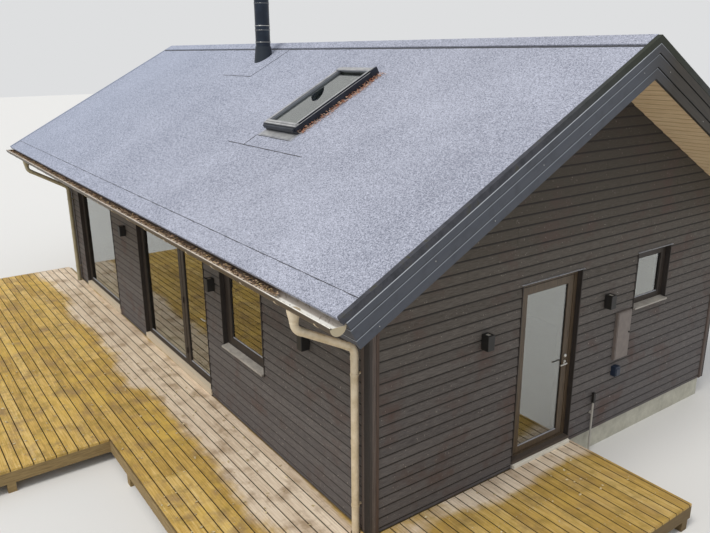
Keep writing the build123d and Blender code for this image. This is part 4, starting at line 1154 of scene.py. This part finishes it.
# Flue: a twin-wall steel flue with a dark coat that gives a blue-black sheen, locking bands of bare steel,
# and a skirt of dark sheet on the felt. The roof's other flashings stay dull and grey.
flue_spot = (-1.450, -0.415)
flue_radius = 0.1285
flue_top = ridge_height + flue_spot[1] * tan(slope) + 1.300
paint(metal_sheet("dark_coated_flue_steel", "#1a2330", "#253141", 0.35, 0.4, 6.0), "flue")
clamps = []
for drop, thickness in ((0.430, 0.002), (0.790, 0.006), (0.860, 0.0025), (1.055, 0.004)):
    clamps.append(started(
        bpy.ops.mesh.primitive_torus_add, major_segments=64, minor_segments=8, major_radius=flue_radius,
        minor_radius=thickness, location=(*flue_spot, flue_top - drop + 0.015),
    ))
    bpy.ops.object.shade_smooth()
place(join("flue_locking_bands", clamps), lever_steel)
on_skirt = by_place(flashing_sheet, "X", 0.01, -0.01)
overlay(flashing_sheet, "#262e38", on_skirt, by_place(flashing_sheet, "Z", 3.5, 3.6))
paint(flashing_sheet, "roof_flashings")

# Roof window: a pivot window in a raised frame. Pale covers clip over its edges, a hood sheds the rain at its
# head, and a double cover and an apron close its foot. The frame's sheet is coated near black and satin, and
# its inner edges carry a painted reflection of the sky in pale grey.
window_coat = metal_sheet("dark_coated_window_sheet", "#22262f", "#30343f", 0.4, 0.3, 9.0)
off_middle = add_node(
    window_coat, "Math", {1: window_x}, {0: on_axis(window_coat, "X")}, operation="SUBTRACT"
)
off_side = add_node(window_coat, "Math", links={0: off_middle}, operation="ABSOLUTE")
# Painted reflection: the sash's inner edges are painted pale grey, for the sky they reflect.
sash_inside = add_node(window_coat, "MapRange", {1: 0.362, 2: 0.358, 4: 0.8}, {0: off_side})
overlay(window_coat, "#8b8f97", sash_inside, by_place(window_coat, "Y", -2.020, -2.005))
paint(window_coat, "roof_window_frame")

# The covers' sheet is the same coat, painted pale grey as a painted reflection of the sky. Each cover is given
# by its two sides across the roof, its head and foot down it, and how far its underside and its top lie over
# the frame.
# Painted reflection: the covers are painted pale grey for the sky on their dark coat.
cover_sky_reflection_coat = metal_sheet("cover_sheet_painted_sky_reflection", "#b3b3b3", "#8f9094", 0.4, 0.3, 9.0)
window_rise = 0.100
left = window_x - window_half
right = window_x + window_half
nose_lift = -0.055
pale_plan = (
    (left, left + 0.034, window_top, window_foot - 0.090, 0.0, 0.012),
    (right - 0.066, right - 0.034, window_top, window_foot - 0.090, 0.0, 0.020),
    (right - 0.014, right - 0.001, window_top, window_foot - 0.020, 0.0, 0.004),
    (left - 0.003, right - 0.020, window_top + 0.030, window_top + 0.080, 0.0, 0.020),
    (left + 0.020, right - 0.020, window_top - 0.020, window_top + 0.022, -0.020, 0.004),
    (left, right - 0.016, window_foot - 0.088, window_foot - 0.052, 0.0, 0.014),
    (left, right - 0.016, window_foot - 0.046, window_foot - 0.014, 0.0, 0.010),
    (left + 0.030, right - 0.030, window_foot + 0.002, window_foot + 0.118, -0.091, -0.087),
)
dark_plan = (
    (right - 0.034, right - 0.026, window_top, window_foot - 0.050, 0.0, 0.018),
    (left - 0.003, right - 0.020, window_top + 0.080, window_top + 0.090, 0.0, 0.016),
    (right - 0.020, right + 0.008, window_top - 0.020, window_top + 0.100, -0.070, 0.024),
    (left + 0.010, right - 0.010, window_foot - 0.012, window_foot + 0.026, nose_lift, -0.004),
)
for name, plan, material in (
    ("roof_window_covers", pale_plan, cover_sky_reflection_coat), ("roof_window_end_pieces", dark_plan, window_coat)
):
    covers = []
    for inner, outer, top, foot, lift, height in plan:
        cover = block("cover", (inner, -foot, window_rise + lift), (outer, -top, window_rise + height))
        edge_width = 0.012 if lift == nose_lift else 0.003
        modify(cover, "BEVEL", width=edge_width, segments=3, limit_method="ANGLE")
        covers.append(cover)
    piece = join(name, covers)
    piece.data.transform(front_roof)
    place(piece, material)

# Wall lamps: black cast housings that throw light up and down, each with a frosted lens sunk in its top
# and its foot, screwed to a block between the boards. The coat is satin black, and the lens milky.
lamp_black = start_material("black_coated_casting", Base_Color="#1e1d1c", Roughness=0.55)
lens_glass = start_material("frosted_lamp_lens", Base_Color="#bab7ae", Roughness=0.5)
lamp_height = 2.000
lamp_half_width = 0.0475
lamp_half_height = 0.085
lamp_out = 0.100
lens_half_width = 0.030
lens_height = 0.076
lamp_spots = [(0, -half_width, x) for x in (-1.750, 1.740, 4.040)]
lamp_spots += [(pi / 2, -half_length, y) for y in (-1.545, 0.495)]
housing = block(
    "lamp", (-lamp_half_width, -lamp_out, -lamp_half_height), (lamp_half_width, 0.0, lamp_half_height)
)
modify(housing, "BEVEL", width=0.006, segments=3)
edit(housing, "FACE", lambda middle, out: abs(out.z) > 0.99)
bpy.ops.mesh.inset(thickness=0.014, use_individual=True)
bpy.ops.mesh.extrude_faces_move(TRANSFORM_OT_shrink_fatten={"value": -0.012})
close()
lamp = join("lamp", [housing, block("foot_plate", (-0.035, 0.0, -0.060), (0.035, 0.030, 0.060))])
lens = join("lens", [
    block("lens", (-lens_half_width, -0.082, height - 0.002), (lens_half_width, -0.018, height + 0.002))
    for height in (-lens_height, lens_height)
])
modify(lens, "BEVEL", width=0.0015, segments=2)
moves = [
    Matrix.Rotation(turn, 4, "Z") @ Matrix.Translation((along, distance, lamp_height))
    for turn, distance, along in lamp_spots
]
for name, unit, material, node in (
    ("lamp_housings", lamp, lamp_black, ["wall_lamps"]), ("lamp_lenses", lens, lens_glass, ())
):
    place(join(name, [copied(unit, move) for move in moves]), material, stands_for=node)
    bpy.data.objects.remove(unit)

# Electrical fittings on the gable: a meter cupboard with a lock, a blue-grey outlet box with a hinged lid, and
# a conduit that brings a cable up the wall to a black weather head. The cupboard is moulded plastic, dull and
# dusty, and the outlet's is smooth with a low shine.
cupboard_plastic = mottled(
    "moulded_grey_cupboard", 0.55, (14.0, 5.0, 0.5), [(0.3, "#6f6661"), (0.75, "#7c726c")]
)
paint(cupboard_plastic, "meter_cupboard")
lock = disc(0.011, 0.008, (5.160, 0.965, 1.50), 24, (0, pi / 2, 0))
sink(lock, 0.004, (-0.003, 0, 0), lambda middle, out: out.x > 0.9)
lock.name = "cupboard_lock"
place(lock, lamp_black)
outlet_plastic = start_material("moulded_blue_grey_outlet", Base_Color="#1d2a3d", Roughness=0.4)
shell = block("outlet_shell", (5.091, 0.735, 0.950), (5.185, 0.835, 1.080))
modify(shell, "BEVEL", width=0.010, segments=4)
lid = block("lid", (5.179, 0.745, 0.962), (5.193, 0.825, 1.050))
modify(lid, "BEVEL", width=0.006, segments=3)
barrel = tube("barrel", [((5.186, y, 1.056), (0, 0.01, 0)) for y in (0.750, 0.820)], 0.005, 4)
place(join("outlet_with_lid", [shell, lid, barrel]), outlet_plastic, stands_for=["outlet_box"])
conduit = start_material("grey_conduit", Base_Color="#aeaaa2", Roughness=0.6)
overlay(conduit, "#1b1a19", add_node(
    conduit, "Math", {1: 0.700}, {0: on_axis(conduit, "Z")}, operation="GREATER_THAN"
))
paint(conduit, "cable_riser")

# Foundation and floor: a plinth of rendered blocks, rough and grey-green with splashed soil, and inside it a
# floor of pale laid boards, seven to the metre.
render_coat = mottled("rendered_block_plinth", 0.95, (6.0, 9.0, 0.7), [(0.3, "#a6a395"), (0.7, "#c6c3b4")])
relief(render_coat, 0.4, 0.003)
paint(render_coat, "plinth")
paint(timber("laid_floor_boards", "#8f7a5d", "#b39d7c", (3, 60, 60), (0, 7, 0), 0.5), "floor_slab")

# Deck: pressure-treated pine boards screwed down with small gaps, green-gold with algae out in the open and
# worn to a pale pinkish grey along the walls. The worn strip is wide along the terrace and narrow by the
# gable, and its edge wavers. Brown and golden patches lie on top, and each board's edges are dark.
deck_pitch = 1.507 / 12
deck_inner = -3.025
deck_wood = start_material("pressure_treated_deck_boards", Roughness=0.8)
deck_grain = wood_grain(
    deck_wood, (3, 55, 55), (0.27, 1 / deck_pitch, 0), (0.2, -deck_inner / deck_pitch, 0), 0.2
)
deck_gold, deck_grey = [
    add_node(deck_wood, "ValToRGB", links={"Fac": deck_grain}, stops=stops)
    for stops in (
        [(0.3, "#a2803a"), (0.5, "#cea958"), (0.72, "#ecce8a")], [(0.3, "#c8b195"), (0.7, "#fbead2")]
    )
]
deck_patch = add_node(
    deck_wood, "TexNoise", {"Scale": 0.9, "Detail": 6.0, "Roughness": 0.65}, {"Vector": on_object(deck_wood)}
)
terrace_worn = where_all(
    deck_wood, by_place(deck_wood, "Y", -3.45, -4.05, 0.0, 0.95), by_place(deck_wood, "Y", -3.0, -3.1)
)
gable_worn = where_all(
    deck_wood, by_place(deck_wood, "X", 5.30, 5.66, 0.0, 1.0), by_place(deck_wood, "Y", -2.9, -1.2, 1.0, 0.45),
    by_place(deck_wood, "Y", -3.1, -3.0),
)
worn = add_node(deck_wood, "Math", links={0: terrace_worn, 1: gable_worn}, operation="ADD")
wavered = add_node(
    deck_wood, "Math", {1: 1.6}, {0: (deck_patch, "Fac"), 2: worn}, operation="MULTIPLY_ADD"
)
worn_share = add_node(deck_wood, "MapRange", {1: 1.20, 2: 1.48}, {0: wavered})
unworn = add_node(deck_wood, "MapRange", {1: 1.48, 2: 1.20}, {0: wavered})
deck_colour = add_node(
    deck_wood, "Mix", links={0: worn_share, 6: deck_gold, 7: deck_grey}, data_type="RGBA"
)
feed(deck_wood, "Base Color", deck_colour, 2)
relief(deck_wood, 0.4, 0.002)
across_count = add_node(
    deck_wood, "Math", {1: -1 / deck_pitch, 2: 60 + deck_inner / deck_pitch},
    {0: on_axis(deck_wood, "Y")}, operation="MULTIPLY_ADD",
)
across_board = add_node(deck_wood, "Math", links={0: across_count}, operation="FRACT")
from_middle = add_node(deck_wood, "Math", {1: 0.468}, {0: across_board}, operation="SUBTRACT")
half_across = add_node(deck_wood, "Math", links={0: from_middle}, operation="ABSOLUTE")
for colour, *shares in (
    ("#8a7433", spots(deck_wood, 5.5, 0.48, 0.72, 5.0, 0.7, 0.75), unworn),
    # Painted shade: the deck beside the gable is a little darker.
    ("#6b5526", by_place(deck_wood, "Y", -3.1, -3.0, 0.22), unworn),
    ("#dcb755", spots(deck_wood, 1.6, 0.50, 0.68, 4.0), unworn,
     by_place(deck_wood, "Y", -3.1, -3.0, 0.25, 0.65)),
    ("#927655", spots(deck_wood, 3.4, 0.50, 0.66, 6.0), by_place(deck_wood, "Y", -3.1, -3.0, 0.35, 0.65)),
    ("#3f3219", add_node(deck_wood, "MapRange", {1: 0.435, 2: 0.455, 4: 0.85}, {0: half_across})),
):
    overlay(deck_wood, colour, *shares)

# The boards: one board and one screw are modelled and copied, in rows of random lengths, with two screws over
# each joist. The rows beside the gable are short, and the first twelve run the whole length of the deck.
deck_top = wall_foot
deck_thickness = 0.028
deck_gap = 0.008
deck_far = -6.080
deck_near = 6.685
wide_end = 1.782
wide_edge = -7.015
gable_edge = 0.033
gable_start = 5.130
joist_spacing = 0.6
screw_inset = 0.024
screw_start = 0.0225
end_gap = 0.001
longest_board = 4.9
full_rows = 12
drill_radius = 0.0495
unit_board = block("unit_board", (0, -deck_pitch + deck_gap, deck_top - deck_thickness), (1, 0, deck_top))
ease(unit_board, 0.003, 2, lambda spot, along: abs(along.x) > 0.9 and spot.z > deck_top - 0.001)
screw = disc(0.0045, 0.003, (0, 0, deck_top), 8)
sink(screw, 0.002, (0, 0, -0.0012), lambda middle, out: out.z > 0.9)
boards = []
screws = []
rows = [(row, deck_far, deck_near if row < full_rows else wide_end) for row in range(32)]
rows += [(row, gable_start, deck_near) for row in range(-25, 0)]
for row, left, right in rows:
    inner = deck_inner - row * deck_pitch
    width = min(1.0, (inner - wide_edge) / deck_pitch, (gable_edge - (inner - deck_pitch)) / deck_pitch)
    start = left
    while start < right - 0.01:
        end = right if right - start < longest_board else start + random.choice((3.0, 3.6, 4.2, 4.8))
        move = Matrix.Translation((start + end_gap, min(inner, gable_edge), 0))
        boards.append(copied(unit_board, move @ Matrix.Diagonal((end - start - 2 * end_gap, width, 1, 1))))
        start = end
    for i in range(int((right - left) / joist_spacing) + 1):
        for offset in (screw_inset, deck_pitch - deck_gap - screw_inset):
            if wide_edge + 0.01 < inner - offset < gable_edge - 0.01:
                x = left + screw_start + i * joist_spacing
                screws.append(copied(screw, Matrix.Translation((x, inner - offset, 0))))
bpy.data.objects.remove(unit_board)
bpy.data.objects.remove(screw)
deck = join("deck_boards_laid", boards)
cut_out(deck, join("drill", [disc(drill_radius, 0.2, (x, pipe_y, deck_top)) for x in (-4.980, 4.980)]))
place(deck, deck_wood, stands_for=["deck_boards"])
place(join("deck_screws", screws), lever_steel)

# The frame below: sawn timber with the same treatment, brown and fibrous, and darker at its near end.
frame_wood = timber("sawn_treated_frame", "#75603c", "#a38b5e", (5, 5, 60), roughness=0.85)
overlay(frame_wood, "#54432a", by_place(frame_wood, "X", 6.60, 6.64, 0.7))
paint(frame_wood, "deck_frame")

# Studio: a pale floor and a pale surround, with one broad soft lamp high in front and light from all round.
# The surround lights the house dimly, and shows as a plain pale backdrop to the camera and in the glass.
studio_floor = started(bpy.ops.mesh.primitive_plane_add, size=160, location=(0, 0, 0))
studio_floor.name = "studio_floor"
studio_floor.data.materials.append(start_material("studio_floor_paint", Base_Color="#e6e5e2", Roughness=0.9))
world = bpy.data.worlds.new("studio_surround")
bpy.context.scene.world = world
world.use_nodes = True
world.node_tree.nodes.clear()
seen = add_node(world, "LightPath")
light = add_node(world, "Background", {"Color": "#eef1f6", "Strength": 0.74})
backdrop = add_node(world, "Background", {"Color": "#dedfe0", "Strength": 1.0})
shown = (seen, "Is Camera Ray")
for ray in ("Is Glossy Ray", "Is Transmission Ray"):
    shown = add_node(world, "Math", links={0: shown, 1: (seen, ray)}, operation="MAXIMUM")
choice = add_node(world, "MixShader", links={0: shown, 1: light, 2: backdrop})
add_node(world, "OutputWorld", links={"Surface": choice})
sun = bpy.data.objects.new("broad_lamp", bpy.data.lights.new("broad_lamp", "SUN"))
bpy.context.scene.collection.objects.link(sun)
sun.data.energy = 1.6
sun.data.angle = radians(22)
sun.data.color = (1.0, 0.97, 0.92)
sun.matrix_world = Vector((0.15, -0.70, 1.15)).to_track_quat("Z", "Y").to_matrix().to_4x4()
bpy.context.scene.view_settings.view_transform = "Standard"
